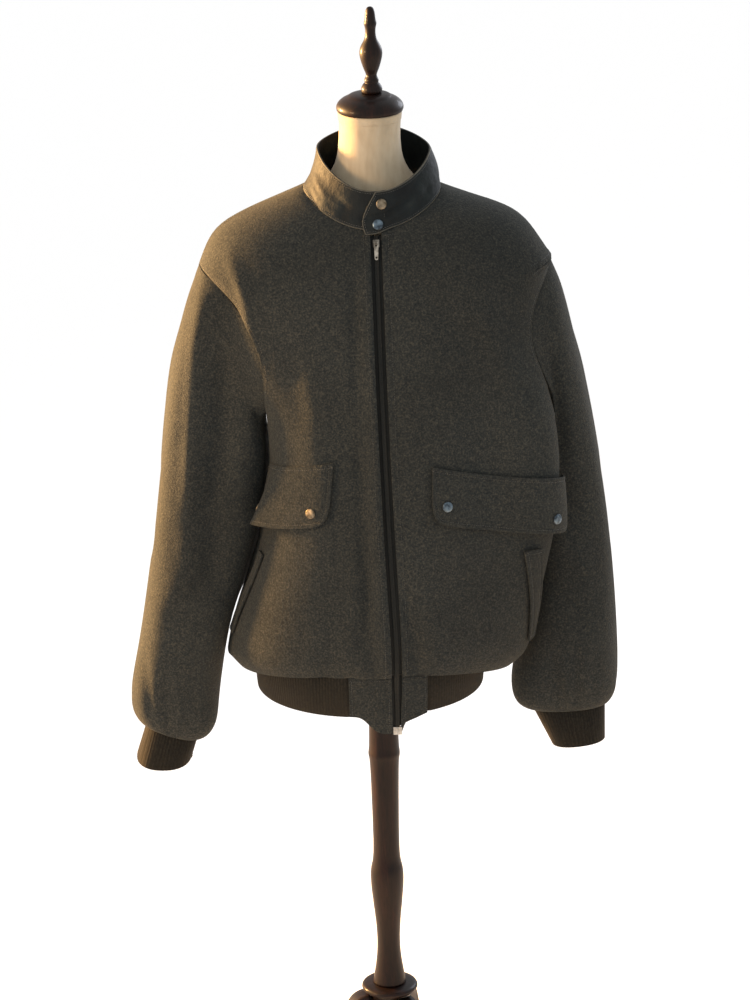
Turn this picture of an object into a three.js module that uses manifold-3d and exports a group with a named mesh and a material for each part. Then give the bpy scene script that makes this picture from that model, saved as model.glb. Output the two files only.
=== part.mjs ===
// A wool blouson jacket, zipped up on a slim dress form that stands on a turned pole and three legs.
// Millimetres. +Z is up, the front faces -Y and the wearer's left is at +X.
import * as THREE from "three";
import { mergeVertices } from "three/addons/utils/BufferGeometryUtils.js";
import Module from "manifold-3d";

const wasm = await Module();
wasm.setup();

const degree = Math.PI / 180;
const front = -90 * degree;

// Thickness of each cloth, and the play left at every seam
const wool = 2.6;
const leather = 2.4;
const ribKnit = 1.8;
const tapeCloth = 0.9;
const seam = 0.3;

// A table's rows as objects, by its columns' names
const rowsOf = (columns, rows) =>
  rows.map((row) => Object.fromEntries(columns.map((name, i) => [name, row[i]])));

// The body of the jacket from hem to neck. Each ring has its height at both sides, front and back, the
// x of its left and right ends, its depth in front and behind, how square its corners are, the x of
// the zip, and how far the cloth swings out in a fold at the front corner on each side.
const bodyRings = rowsOf(
  [
    "at", "leftZ", "rightZ", "frontZ", "backZ", "left", "right",
    "front", "back", "square", "zip", "foldRight", "foldLeft",
  ],
  [
    ["hemEdge", 688, 688, 686, 692, -180, 146, 158, 138, 2.1, 21, 0, 0],
    ["hemSeam", 744, 744, 744, 749, -186, 152, 162, 142, 2.1, 21, 0, 0],
    ["tuck", 724, 719, 748, 734, -206, 180, 166, 150, 2.15, 21, 12, 0],
    ["blouse", 739, 736, 768, 752, -220, 194, 170, 156, 2.2, 21, 20, 2],
    ["lower", 800, 800, 806, 803, -206, 197, 171, 157, 2.25, 20, 32, 6],
    ["welt", 872, 872, 876, 874, -180, 199, 167, 153, 2.25, 17, 46, 8],
    ["pocket", 958, 958, 962, 960, -157, 203, 160, 147, 2.25, 13.5, 60, 8],
    ["flapTop", 1036, 1036, 1040, 1038, -149, 205, 152, 141, 2.25, 11, 62, 8],
    ["armpit", 1086, 1086, 1082, 1087, -153, 206, 147, 137, 2.25, 10, 52, 10],
    ["chest", 1192, 1192, 1172, 1193, -190, 213, 137, 128, 2.25, 8, 20, 10],
    ["shoulderTip", 1297, 1297, 1246, 1302, -237, 246, 124, 117, 2.2, 7, 0, 2],
    ["shoulderBend", 1333, 1333, 1272, 1336, -223, 224, 119, 111, 2.2, 6.5, 0, 0],
    ["shoulderKnee", 1357, 1359, 1295, 1361, -201, 203, 113, 105, 2.15, 6.2, 0, 0],
    ["shoulderMid", 1379, 1378, 1326, 1387, -147, 149, 101, 92, 2.1, 6, 0, 0],
    ["neck", 1399, 1394, 1352, 1414, -92, 96, 88, 76, 2, 5.5, 0, 0],
  ],
);
const cornerFold = {
  right: { angle: -20 * degree, spread: 30 * degree },
  left: { angle: -144 * degree, spread: 22 * degree },
};

// Soft folds in the body: angle round the ring, half-width of the fold, how far it stands out, the
// ring numbers where it starts, peaks and ends, and how far it drifts round on the way up.
const bodyFolds = [
  { at: "left front drape", angle: -128, spread: 13, out: 5, low: 4, peak: 8, high: 11, drift: -10 },
  { at: "left front hollow", angle: -112, spread: 14, out: -5, low: 3, peak: 7, high: 11, drift: -6 },
  { at: "left placket swell", angle: -97, spread: 9, out: 6, low: 0, peak: 3, high: 6, drift: 0 },
  { at: "left hem hollow", angle: -112, spread: 9, out: -9, low: 0, peak: 2.5, high: 6, drift: 6 },
  { at: "right placket hollow", angle: -70, spread: 9, out: -7, low: 0, peak: 3, high: 7, drift: -4 },
  { at: "right front swell", angle: -52, spread: 13, out: 4, low: 2, peak: 5, high: 9, drift: -6 },
  { at: "back left drape", angle: 140, spread: 15, out: 8, low: 2, peak: 5, high: 10, drift: -10 },
  { at: "back left hollow", angle: 116, spread: 12, out: -7, low: 2, peak: 6, high: 10, drift: -6 },
  { at: "back middle swell", angle: 92, spread: 13, out: 5, low: 2, peak: 4, high: 9, drift: 0 },
  { at: "back right hollow", angle: 67, spread: 12, out: -7, low: 2, peak: 6, high: 10, drift: 6 },
  { at: "back right drape", angle: 42, spread: 15, out: 8, low: 2, peak: 5, high: 10, drift: 8 },
];

// The armholes: which rings they run between, how many rows they take, the angle of each side seam
// and how far each armhole opens in front of it and behind it
const armhole = { low: 8, high: 10, steps: 10 };
const sideSeam = { right: 8 * degree, left: 180 * degree };
const armholeAngle = {
  right: { front: 28 * degree, back: 20 * degree },
  left: { front: 32 * degree, back: 20 * degree },
};

// Each sleeve from the shoulder down: x and z of the outer line, x and z of the line next to the
// body, and y of its front and back. A cuff's rings also say how far its front tips down.
const sleeveRings = {
  left: [
    { outerX: -249, outerZ: 1268, innerX: -152, innerZ: 1066, frontY: -66, backY: 82 },
    { outerX: -262, outerZ: 1232, innerX: -146, innerZ: 1042, frontY: -64, backY: 88 },
    { outerX: -276, outerZ: 1178, innerX: -141, innerZ: 1010, frontY: -62, backY: 92 },
    { outerX: -289, outerZ: 1112, innerX: -140, innerZ: 974, frontY: -62, backY: 94 },
    { outerX: -299, outerZ: 1038, innerX: -142, innerZ: 936, frontY: -62, backY: 94 },
    { outerX: -310, outerZ: 962, innerX: -152, innerZ: 892, frontY: -63, backY: 93 },
    { outerX: -322, outerZ: 890, innerX: -170, innerZ: 844, frontY: -64, backY: 90 },
    { outerX: -334, outerZ: 819, innerX: -194, innerZ: 790, frontY: -65, backY: 86 },
    { outerX: -348, outerZ: 744, innerX: -222, innerZ: 730, frontY: -66, backY: 79 },
    { outerX: -359, outerZ: 700, innerX: -231, innerZ: 690, frontY: -64, backY: 72 },
    { outerX: -364, outerZ: 668, innerX: -236, innerZ: 656, frontY: -61, backY: 67 },
    { outerX: -360, outerZ: 646, innerX: -239, innerZ: 628, frontY: -57, backY: 60 },
    { outerX: -350, outerZ: 632, innerX: -252, innerZ: 607, frontY: -47, backY: 48 },
    { outerX: -340, outerZ: 630, innerX: -265, innerZ: 603, frontY: -37, backY: 38 },
  ],
  right: [
    { outerX: 255, outerZ: 1270, innerX: 219, innerZ: 1068, frontY: -54, backY: 90 },
    { outerX: 264, outerZ: 1242, innerX: 221, innerZ: 1047, frontY: -50, backY: 98 },
    { outerX: 277, outerZ: 1186, innerX: 221, innerZ: 1017, frontY: -46, backY: 103 },
    { outerX: 292, outerZ: 1115, innerX: 220, innerZ: 981, frontY: -42, backY: 106 },
    { outerX: 309, outerZ: 1027, innerX: 217, innerZ: 936, frontY: -40, backY: 106 },
    { outerX: 322, outerZ: 946, innerX: 213, innerZ: 887, frontY: -40, backY: 104 },
    { outerX: 331, outerZ: 870, innerX: 209, innerZ: 835, frontY: -42, backY: 101 },
    { outerX: 337, outerZ: 797, innerX: 203, innerZ: 780, frontY: -46, backY: 98 },
    { outerX: 340, outerZ: 735, innerX: 195, innerZ: 727, frontY: -49, backY: 94 },
    { outerX: 341, outerZ: 695, innerX: 186, innerZ: 690, frontY: -50, backY: 88 },
    { outerX: 340, outerZ: 666, innerX: 185, innerZ: 662, frontY: -48, backY: 80 },
    { outerX: 334, outerZ: 650, innerX: 191, innerZ: 644, frontY: -42, backY: 70 },
    { outerX: 327, outerZ: 640, innerX: 204, innerZ: 635, frontY: -31, backY: 58 },
    { outerX: 322, outerZ: 638, innerX: 212, innerZ: 633, frontY: -22, backY: 48 },
  ],
};
const cuffRings = {
  left: [
    { outerX: -340, outerZ: 629.5, innerX: -265, innerZ: 602.5, frontY: -37, backY: 38, tip: 0 },
    { outerX: -350, outerZ: 604, innerX: -270, innerZ: 590, frontY: -43, backY: 36, tip: 5 },
    { outerX: -357, outerZ: 580, innerX: -278, innerZ: 578, frontY: -46, backY: 32, tip: 10 },
  ],
  right: [
    { outerX: 322, outerZ: 637.5, innerX: 212, innerZ: 632.5, frontY: -22, backY: 48, tip: 0 },
    { outerX: 323, outerZ: 610, innerX: 228, innerZ: 604, frontY: -28, backY: 46, tip: -2 },
    { outerX: 320, outerZ: 587, innerX: 244, innerZ: 578, frontY: -34, backY: 42, tip: -3 },
  ],
};
const sleeveClearance = 5;

// Soft folds along each sleeve: turn from the outer line towards the front, half-width, how far it
// stands out, and the ring numbers where it starts, peaks and ends.
const sleeveFolds = [
  { at: "ridge from the shoulder", turn: 30, spread: 28, out: 7, low: 0, peak: 3, high: 9 },
  { at: "hollow beside it", turn: 92, spread: 40, out: -10, low: 0, peak: 3, high: 9 },
  { at: "elbow swell", turn: 60, spread: 34, out: 6, low: 6, peak: 9, high: 12 },
  { at: "gather over the cuff", turn: 100, spread: 26, out: -10, low: 8, peak: 11.5, high: 13.5 },
  { at: "gather inside", turn: 150, spread: 26, out: 5, low: 9, peak: 12, high: 14 },
  { at: "back hollow", turn: -80, spread: 30, out: -7, low: 1, peak: 5, high: 10 },
  { at: "back gather", turn: -110, spread: 26, out: -7, low: 8, peak: 11.5, high: 13.5 },
];

// Rib knit at the hem and the cuffs
const ribPitch = 6;
const ribRise = 1.1;

// Front opening: width of the gap between the two front edges, and how far the wool hem ends reach
const zipGap = 15;
const chainWidth = 5.4;
const chainThick = 2.2;
const tapeWidth = 12.6;
const hemEnd = { right: 37, left: 60 };
const hemInset = 1.2;
const zipTopZ = 1347;
const zipBox = { wide: 12, tall: 11, thick: 4.4 };

// Stand collar: height in front and how much taller behind, the outline of its top, how much it
// bows out on the left side, where its lower end starts, and where its upper end stops at each row
const collar = {
  tall: 50,
  taller: 4,
  topLeft: -72,
  topRight: 83,
  topFront: 78,
  topBack: 66,
  bow: 4,
  underEnd: -12,
};
const collarEnds = [366.5, 370.5, 368.5, 364.5, 359.5];

// Pocket flaps and hand-pocket welts: angles round the body and heights at each end. A flap's lower
// edge lifts off most at the share liftAt across, and the more sharply the higher liftSharp is.
const flaps = {
  right: { from: -73, to: -13, topFrom: 1040, topTo: 998, tall: 76, lift: 9, liftAt: 1, liftSharp: 3 },
  left: { from: -166, to: -122, topFrom: 1022, topTo: 1046, tall: 87, lift: 34, liftAt: 0.26, liftSharp: 6 },
};
const flapCorner = 20;
const flapGap = 1.4;
const welts = {
  right: { lowFrom: -22, lowTo: -16, low: 768, highFrom: -33, highTo: -27, high: 909 },
  left: { lowFrom: -172, lowTo: -166, low: 776, highFrom: -162, highTo: -155, high: 900 },
};

// Snap caps
const snapRadius = 7.5;
const snapTall = 2.6;

// The dress form: rings like the body's, from its flat underside to the top of its neck
const formRings = rowsOf(
  ["at", "leftZ", "rightZ", "frontZ", "backZ", "left", "right", "front", "back", "square"],
  [
    ["underside", 802, 802, 802, 802, -128, 128, 92, 98, 2.1],
    ["hip", 850, 850, 850, 850, -142, 142, 104, 114, 2.1],
    ["belly", 940, 940, 940, 940, -130, 130, 98, 100, 2.1],
    ["waist", 1040, 1040, 1040, 1040, -112, 112, 84, 80, 2.1],
    ["ribs", 1130, 1130, 1120, 1130, -124, 124, 100, 86, 2.1],
    ["bust", 1205, 1205, 1190, 1210, -139, 139, 110, 94, 2.15],
    ["chest", 1285, 1285, 1242, 1285, -163, 163, 98, 98, 2.2],
    ["shoulder end", 1332, 1333, 1285, 1331, -190, 192, 82, 92, 2.1],
    ["shoulder knee", 1352.5, 1353.7, 1311, 1352, -196, 198, 70, 84, 1.9],
    ["shoulder middle", 1375.8, 1374.8, 1343, 1378, -146, 148, 60, 70, 1.8],
    ["shoulder root", 1394.8, 1390.6, 1370, 1399, -84, 86, 52, 58, 1.8],
    ["neck root", 1418, 1418, 1402, 1424, -50, 50, 46, 48, 2],
    ["neck", 1452, 1452, 1446, 1454, -42, 42, 46, 38, 2],
    ["band", 1488, 1488, 1483, 1493, -41, 44, 47, 38, 2],
    ["neck top", 1500, 1500, 1495, 1505, -42.5, 45.5, 48.5, 39.5, 2],
  ],
);
const neckTilt = 7 * degree;
const neckTopX = 2;
const neckTopY = -5;
const neckTopZ = 1500.6;

// Turned wood: radius and height of each bead, cove and step
const capProfile = [
  { r: 0, z: 0 }, { r: 45, z: 0 }, { r: 47, z: 4 }, { r: 45.5, z: 10 }, { r: 39, z: 16 },
  { r: 30, z: 19.5 }, { r: 29, z: 21.5 }, { r: 20, z: 24 }, { r: 0, z: 24.5 },
];
const finialProfile = [
  { r: 0, z: 24.9 }, { r: 14, z: 24.9 }, { r: 15.5, z: 30 }, { r: 12, z: 36 }, { r: 9.5, z: 38 },
  { r: 10.5, z: 42 }, { r: 8, z: 46 }, { r: 7, z: 49 }, { r: 10.5, z: 56 }, { r: 14.5, z: 68 },
  { r: 16.5, z: 78 }, { r: 15, z: 86 }, { r: 10, z: 94 }, { r: 7.2, z: 100 }, { r: 6.8, z: 112 },
  { r: 9.6, z: 118 }, { r: 7.2, z: 123 }, { r: 7, z: 132 }, { r: 5, z: 139 }, { r: 0, z: 141 },
];
const poleProfile = [
  { r: 0, z: 206.4 }, { r: 25, z: 206.4 }, { r: 23.5, z: 216 }, { r: 18.5, z: 245 }, { r: 16.8, z: 272 },
  { r: 18.5, z: 305 }, { r: 22.7, z: 340 }, { r: 25.5, z: 372 }, { r: 24.3, z: 394 }, { r: 19, z: 404 },
  { r: 20, z: 480 }, { r: 21.3, z: 562 }, { r: 23.6, z: 567 }, { r: 23.6, z: 575 }, { r: 21.3, z: 580 },
  { r: 21.3, z: 801.6 }, { r: 0, z: 801.6 },
];
const hubProfile = [
  { r: 0, z: 100 }, { r: 24, z: 100 }, { r: 30, z: 108 }, { r: 30, z: 190 }, { r: 36, z: 193 },
  { r: 42.5, z: 197 }, { r: 42.5, z: 202 }, { r: 37, z: 206 }, { r: 0, z: 206 },
];
// One leg seen from its side: distance out from the pole and height, over its back and then under it
const legOver = [
  { out: 30.6, z: 189 }, { out: 44, z: 188 }, { out: 57, z: 180 }, { out: 67, z: 163 }, { out: 76, z: 134 },
  { out: 90, z: 100 }, { out: 114, z: 70 }, { out: 150, z: 50 }, { out: 190, z: 42 }, { out: 226, z: 36 },
  { out: 242, z: 22 }, { out: 244, z: 0 },
];
const legUnder = [
  { out: 214, z: 0 }, { out: 206, z: 14 }, { out: 170, z: 20 }, { out: 126, z: 34 }, { out: 92, z: 58 },
  { out: 66, z: 92 }, { out: 46, z: 118 }, { out: 30.6, z: 122 },
];
const legThick = 30;
const legTurns = [66, 186, 306];

// Value of one column of a table at a place between its rows, without overshoot
function track(rows, key, place) {
  const last = rows.length - 1;
  const i = Math.min(Math.max(Math.floor(place), 0), last - 1);
  const t = place - i;
  const value = (k) => rows[Math.min(Math.max(k, 0), last)][key];
  const slope = (k) => {
    const before = value(k) - value(k - 1);
    const after = value(k + 1) - value(k);
    return before * after > 0 ? (2 * before * after) / (before + after) : 0;
  };
  const a = value(i);
  const b = value(i + 1);
  const ease = t * t * (3 - 2 * t);
  return a + (b - a) * ease + slope(i) * t * (1 - t) * (1 - t) - slope(i + 1) * t * t * (1 - t);
}

// A soft bell: 1 in the middle, 0 from one half-width out
function bell(x) {
  return Math.abs(x) >= 1 ? 0 : Math.cos((x * Math.PI) / 2) ** 2;
}

// How strongly a fold shows between the rings where it starts and ends
function foldStrength(fold, place) {
  const half = place < fold.peak ? fold.peak - fold.low : fold.high - fold.peak;
  return bell((place - fold.peak) / half);
}

// Angle from one direction to another, between -pi and pi
function turnBetween(a, b) {
  return Math.atan2(Math.sin(a - b), Math.cos(a - b));
}

// A point of a ring table, at an angle round it and a place between its rows
function ringPoint(rings, angle, place, extra = 0) {
  const left = track(rings, "left", place);
  const right = track(rings, "right", place);
  const half = (right - left) / 2;
  const c = Math.cos(angle);
  const s = Math.sin(angle);
  const ahead = s < 0;
  const depth = track(rings, ahead ? "front" : "back", place);
  const square = track(rings, "square", place);
  const radius = (Math.abs(c / half) ** square + Math.abs(s / depth) ** square) ** (-1 / square) + extra;
  const sideZ = track(rings, c < 0 ? "leftZ" : "rightZ", place);
  const endZ = track(rings, ahead ? "frontZ" : "backZ", place);
  return new THREE.Vector3(
    (left + right) / 2 + radius * c,
    radius * s,
    sideZ + (endZ - sideZ) * Math.abs(s) ** 1.5,
  );
}

// How far the hem's lower edge sags at the zip's foot, mostly on the wearer's right of it
function footSag(angle) {
  const along = turnBetween(angle, zipAngle(0)) * 165;
  return 17 * ease(along, -56, 26) * (1 - ease(along, 7, 9));
}

function bodyPoint(angle, place) {
  if (place > 0 && place < 1) return bodyPoint(angle, 0).lerp(bodyPoint(angle, 1), place);
  let extra = 0;
  for (const side of ["right", "left"]) {
    const fold = cornerFold[side];
    const out = track(bodyRings, side === "right" ? "foldRight" : "foldLeft", place);
    extra += out * bell(turnBetween(angle, fold.angle) / fold.spread);
  }
  for (const fold of bodyFolds) {
    const strength = foldStrength(fold, place);
    if (strength <= 0) continue;
    const middle = (fold.angle + (fold.drift * (place - fold.peak)) / (fold.high - fold.low)) * degree;
    extra += fold.out * strength * bell(turnBetween(angle, middle) / (fold.spread * degree));
  }
  const point = ringPoint(bodyRings, angle, place, extra);
  if (place === 0) point.z -= footSag(angle);
  return point;
}

// The body's outward normal, where hem and panels each keep their own side of the hem seam
function bodyNormal(angle, place) {
  const step = 0.01;
  const across = bodyPoint(angle + step, place).sub(bodyPoint(angle - step, place));
  const low = Math.max(place - step, place < 1 ? 0 : 1);
  const high = Math.min(place + step, place < 1 ? 1 : bodyRings.length - 1);
  const up = bodyPoint(angle, high).sub(bodyPoint(angle, low));
  return across.cross(up).normalize();
}

// A point of the body moved out along its normal
function bodyOut(angle, place, out) {
  return bodyPoint(angle, place).addScaledVector(bodyNormal(angle, place), out);
}

// The place up the body where the surface at this angle has this height, above a lowest place
function placeAtHeight(angle, z, lowest = 0) {
  let low = lowest;
  let high = bodyRings.length - 1;
  for (let i = 0; i < 40; i++) {
    const middle = (low + high) / 2;
    if (bodyPoint(angle, middle).z < z) low = middle;
    else high = middle;
  }
  return (low + high) / 2;
}

// The angle of the zip at a place up the body
function zipAngle(place) {
  const middle = (track(bodyRings, "left", place) + track(bodyRings, "right", place)) / 2;
  return front + Math.atan((track(bodyRings, "zip", place) - middle) / track(bodyRings, "front", place));
}

// The angle that so many millimetres round the body make at an angle and a place
function arc(mm, angle, place) {
  const centreX = (track(bodyRings, "left", place) + track(bodyRings, "right", place)) / 2;
  const p = bodyPoint(angle, place);
  const radius = Math.hypot(p.x - centreX, p.y);
  const q = bodyPoint(angle + 0.02, place);
  const perRadian = Math.hypot(q.x - p.x, q.y - p.y) / 0.02;
  return mm / Math.max(perRadian, radius * 0.5);
}

// A closed solid from a grid of outer points and a grid of inner points of the same size. Rows
// climb and columns turn anticlockwise seen from above, so that faces point out.
function wallBetween(outer, inner, ring) {
  const rows = outer.length;
  const columns = outer[0].length;
  const positions = [];
  const index = [];
  for (const p of [...outer, ...inner].flat()) positions.push(p.x, p.y, p.z);
  const at = (side, i, j) => side * rows * columns + i * columns + (j % columns);
  const quad = (a, b, c, d) => index.push(a, b, c, a, c, d);
  const spans = ring ? columns : columns - 1;
  for (let i = 0; i < rows - 1; i++) {
    for (let j = 0; j < spans; j++) {
      quad(at(0, i, j), at(0, i, j + 1), at(0, i + 1, j + 1), at(0, i + 1, j));
      quad(at(1, i, j), at(1, i + 1, j), at(1, i + 1, j + 1), at(1, i, j + 1));
    }
  }
  for (let j = 0; j < spans; j++) {
    quad(at(0, 0, j), at(1, 0, j), at(1, 0, j + 1), at(0, 0, j + 1));
    quad(at(0, rows - 1, j), at(0, rows - 1, j + 1), at(1, rows - 1, j + 1), at(1, rows - 1, j));
  }
  if (!ring) {
    const end = columns - 1;
    for (let i = 0; i < rows - 1; i++) {
      quad(at(0, i, 0), at(0, i + 1, 0), at(1, i + 1, 0), at(1, i, 0));
      quad(at(0, i, end), at(1, i, end), at(1, i + 1, end), at(0, i + 1, end));
    }
  }
  const geometry = new THREE.BufferGeometry();
  geometry.setAttribute("position", new THREE.Float32BufferAttribute(positions, 3));
  geometry.setIndex(index);
  geometry.computeVertexNormals();
  return geometry;
}

// Outward normals of a grid, from its neighbours
function gridNormals(grid, ring) {
  const rows = grid.length;
  const columns = grid[0].length;
  return grid.map((row, i) =>
    row.map((_, j) => {
      const before = ring ? row[(j + columns - 1) % columns] : row[Math.max(j - 1, 0)];
      const after = ring ? row[(j + 1) % columns] : row[Math.min(j + 1, columns - 1)];
      const below = grid[Math.max(i - 1, 0)][j];
      const above = grid[Math.min(i + 1, rows - 1)][j];
      return after.clone().sub(before).cross(above.clone().sub(below)).normalize();
    }),
  );
}

function move(grid, normals, out) {
  return grid.map((row, i) => row.map((p, j) => p.clone().addScaledVector(normals[i][j], out)));
}

// A wall of cloth whose outer face is the grid
function cloth(grid, thick, ring = false) {
  return wallBetween(grid, move(grid, gridNormals(grid, ring), -thick), ring);
}

// Rib knit: the outer face is raised in ribs, two columns a rib, over a plain inside. The ribs die
// out in the last few millimetres below the seam.
const ribStops = [{ up: 0, rise: ribRise }, { up: 0.93, rise: ribRise }, { up: 1, rise: 0 }];
function ribbed(pointAt, ribs, thick, ring) {
  const rows = ribStops.length - 1;
  const columns = ring ? 2 * ribs : 2 * ribs + 1;
  const grid = ribStops.map((stop) =>
    Array.from({ length: columns }, (_, j) => pointAt(j / (2 * ribs), stop.up)),
  );
  const normals = gridNormals(grid, ring);
  const outer = grid.map((row, i) =>
    row.map((p, j) => p.clone().addScaledVector(normals[i][j], j % 2 ? ribStops[i].rise : 0)),
  );
  const inner = grid.map((row, i) =>
    row.filter((_, j) => j % 2 === 0).map((p, k) => p.clone().addScaledVector(normals[i][2 * k], -thick)),
  );
  const positions = [];
  const index = [];
  for (const p of [...outer, ...inner].flat()) positions.push(p.x, p.y, p.z);
  const outerColumns = outer[0].length;
  const innerColumns = inner[0].length;
  const start = outer.length * outerColumns;
  const o = (i, j) => i * outerColumns + (j % outerColumns);
  const n = (i, k) => start + i * innerColumns + (k % innerColumns);
  for (let k = 0; k < ribs; k++) {
    for (let i = 0; i < rows; i++) {
      for (const j of [2 * k, 2 * k + 1]) {
        index.push(o(i, j), o(i, j + 1), o(i + 1, j + 1), o(i, j), o(i + 1, j + 1), o(i + 1, j));
      }
      index.push(n(i, k), n(i + 1, k), n(i + 1, k + 1), n(i, k), n(i + 1, k + 1), n(i, k + 1));
    }
    index.push(o(0, 2 * k), n(0, k), o(0, 2 * k + 1));
    index.push(o(0, 2 * k + 1), n(0, k), n(0, k + 1));
    index.push(o(0, 2 * k + 1), n(0, k + 1), o(0, 2 * k + 2));
    index.push(o(rows, 2 * k), o(rows, 2 * k + 1), n(rows, k));
    index.push(o(rows, 2 * k + 1), n(rows, k + 1), n(rows, k));
    index.push(o(rows, 2 * k + 1), o(rows, 2 * k + 2), n(rows, k + 1));
  }
  if (!ring) {
    for (let i = 0; i < rows; i++) {
      index.push(o(i, 0), o(i + 1, 0), n(i + 1, 0), o(i, 0), n(i + 1, 0), n(i, 0));
      const e = 2 * ribs;
      index.push(o(i, e), n(i, ribs), n(i + 1, ribs), o(i, e), n(i + 1, ribs), o(i + 1, e));
    }
  }
  const geometry = new THREE.BufferGeometry();
  geometry.setAttribute("position", new THREE.Float32BufferAttribute(positions, 3));
  geometry.setIndex(index);
  geometry.computeVertexNormals();
  return geometry;
}

// Places up the body at which the panels have a row: hem to armpit, round the armhole, shoulder to neck
function panelPlaces() {
  const places = [1, 2, 3, 3.5, 4, 5, 5.5, 6, 7, 8];
  const middle = (armhole.low + armhole.high) / 2;
  const half = (armhole.high - armhole.low) / 2;
  for (let k = 1; k <= armhole.steps; k++) {
    places.push(middle - half * Math.cos((k * Math.PI) / armhole.steps));
  }
  places.push(11, 12, 13, 14);
  return places;
}

// How wide the armhole is at a place up the body, from 0 at its ends to 1
function armholeWidth(place) {
  const middle = (armhole.low + armhole.high) / 2;
  const half = (armhole.high - armhole.low) / 2;
  const t = (place - middle) / half;
  return Math.abs(t) >= 1 ? 0 : (1 - t * t) ** 0.65;
}

// A wall over the body: at each place, columns from one angle to another. Its inner face follows the
// body's own normals, so that neighbours meet squarely at a seam.
function bodyWall(places, columns, angleAt, thick, gap = 0) {
  const outer = [];
  const inner = [];
  for (const place of places) {
    const angles = Array.from({ length: columns + 1 }, (_, j) => angleAt(j / columns, place));
    outer.push(angles.map((angle) => bodyOut(angle, place, gap + thick - wool)));
    inner.push(angles.map((angle) => bodyOut(angle, place, gap - wool)));
  }
  return wallBetween(outer, inner, false);
}

// A panel of the body between two edges, each a function of the place that gives its angle at the
// seam and the angle that its armhole takes off, which moves only the columns next to it
function bodyPanel(fromEdge, toEdge, columns) {
  return bodyWall(panelPlaces(), columns, (share, place) => {
    const from = fromEdge(place);
    const to = toEdge(place);
    const straight = from.seam + (to.seam - from.seam) * share;
    return straight + from.armhole * (1 - share) ** 3 + to.armhole * share ** 3;
  }, wool);
}

const halfSeam = (angle, place) => arc(seam / 2, angle, place);
const zipEdge = (side) => (place) => {
  const middle = zipAngle(place);
  return { seam: middle + side * arc(zipGap / 2, middle, place), armhole: 0 };
};
const sideEdge = (side, part, turns, way) => (place) => ({
  seam: sideSeam[side] + turns * 360 * degree + way * halfSeam(sideSeam[side], place),
  armhole: way * armholeAngle[side][part] * armholeWidth(place),
});

// The angle and place of a point on the armhole's edge: turn 0 is the shoulder tip and a half turn
// is the armpit
function armholeSpot(side, turn) {
  const middle = (armhole.low + armhole.high) / 2;
  const half = (armhole.high - armhole.low) / 2;
  const place = middle + half * Math.cos(turn) * 0.997;
  const s = Math.sin(turn);
  const behind = (side === "right") === s > 0;
  const reach = armholeAngle[side][behind ? "back" : "front"] - arc(seam, sideSeam[side], place);
  return [sideSeam[side] + reach * Math.sign(s) * Math.abs(s) ** 1.3, place];
}

// x of the body's side at a height and depth, where a sleeve hangs beside it
function flankX(side, y, z) {
  let low = 3;
  let high = 10;
  for (let i = 0; i < 30; i++) {
    const middle = (low + high) / 2;
    if (track(bodyRings, side === "right" ? "rightZ" : "leftZ", middle) < z) low = middle;
    else high = middle;
  }
  const place = (low + high) / 2;
  let angle = side === "right" ? 0 : Math.PI;
  for (let i = 0; i < 12; i++) {
    const p = bodyPoint(angle, place);
    const error = (y - p.y) / 190;
    angle += side === "right" ? error : -error;
  }
  return bodyPoint(angle, place).x;
}

// A ring of a sleeve or cuff, from its outer line round
function tubePoint(row, turn, side, extra = 0) {
  const outX = (row.outerX - row.innerX) / 2;
  const outZ = (row.outerZ - row.innerZ) / 2;
  const deep = (row.backY - row.frontY) / 2;
  const reach = Math.hypot(outX, outZ);
  const grow = 1 + extra / reach;
  const c = Math.cos(turn);
  const s = Math.sin(turn);
  const squash = (Math.abs(c) ** 2.3 + Math.abs(s) ** 2.3) ** (-1 / 2.3);
  const backwards = side === "right" ? 1 : -1;
  return new THREE.Vector3(
    (row.outerX + row.innerX) / 2 + outX * c * squash * grow,
    (row.frontY + row.backY) / 2 + backwards * deep * s * squash * (1 + extra / deep),
    (row.outerZ + row.innerZ) / 2 + outZ * c * squash + (row.tip ?? 0) * backwards * s * squash,
  );
}

// A sleeve: rows climb from the cuff to the armhole
function sleeve(side) {
  const columns = 2 * armhole.steps;
  const rings = sleeveRings[side];
  const outward = side === "right" ? 1 : -1;
  const grid = rings.map((row, k) => {
    const points = [];
    for (let j = 0; j < columns; j++) {
      const turn = (2 * Math.PI * j) / columns;
      const towardsFront = side === "right" ? -turn : turn;
      let extra = 0;
      for (const fold of sleeveFolds) {
        const off = turnBetween(towardsFront, fold.turn * degree) / (fold.spread * degree);
        extra += fold.out * foldStrength(fold, k + 1) * bell(off);
      }
      const p = tubePoint(row, turn, side, extra);
      if (p.z > 722) {
        const limit = flankX(side, p.y, p.z) + outward * sleeveClearance;
        if ((p.x - limit) * outward < 0) p.x = limit;
      }
      points.push(p);
    }
    return points;
  });
  const edge = Array.from({ length: columns }, (_, j) => armholeSpot(side, (2 * Math.PI * j) / columns));
  const outer = [...grid.reverse(), edge.map(([angle, place]) => bodyPoint(angle, place))];
  const normals = gridNormals(outer, true);
  const inner = move(outer, normals, -wool);
  // Where the sleeve turns down from the shoulder its end is mitred to the panel's end
  const top = outer.length - 1;
  edge.forEach(([angle, place], j) => {
    const panelIn = bodyNormal(angle, place).negate();
    const sleeveIn = normals[top][j].clone().negate();
    const away = outer[top - 1][j].clone().sub(outer[top][j]).normalize();
    const mitre = Math.min(Math.max(panelIn.dot(away), 0) / Math.max(panelIn.dot(sleeveIn), 0.4), 1.5);
    inner[top][j].addScaledVector(away, wool * mitre);
  });
  return wallBetween(outer, inner, true);
}

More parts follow.
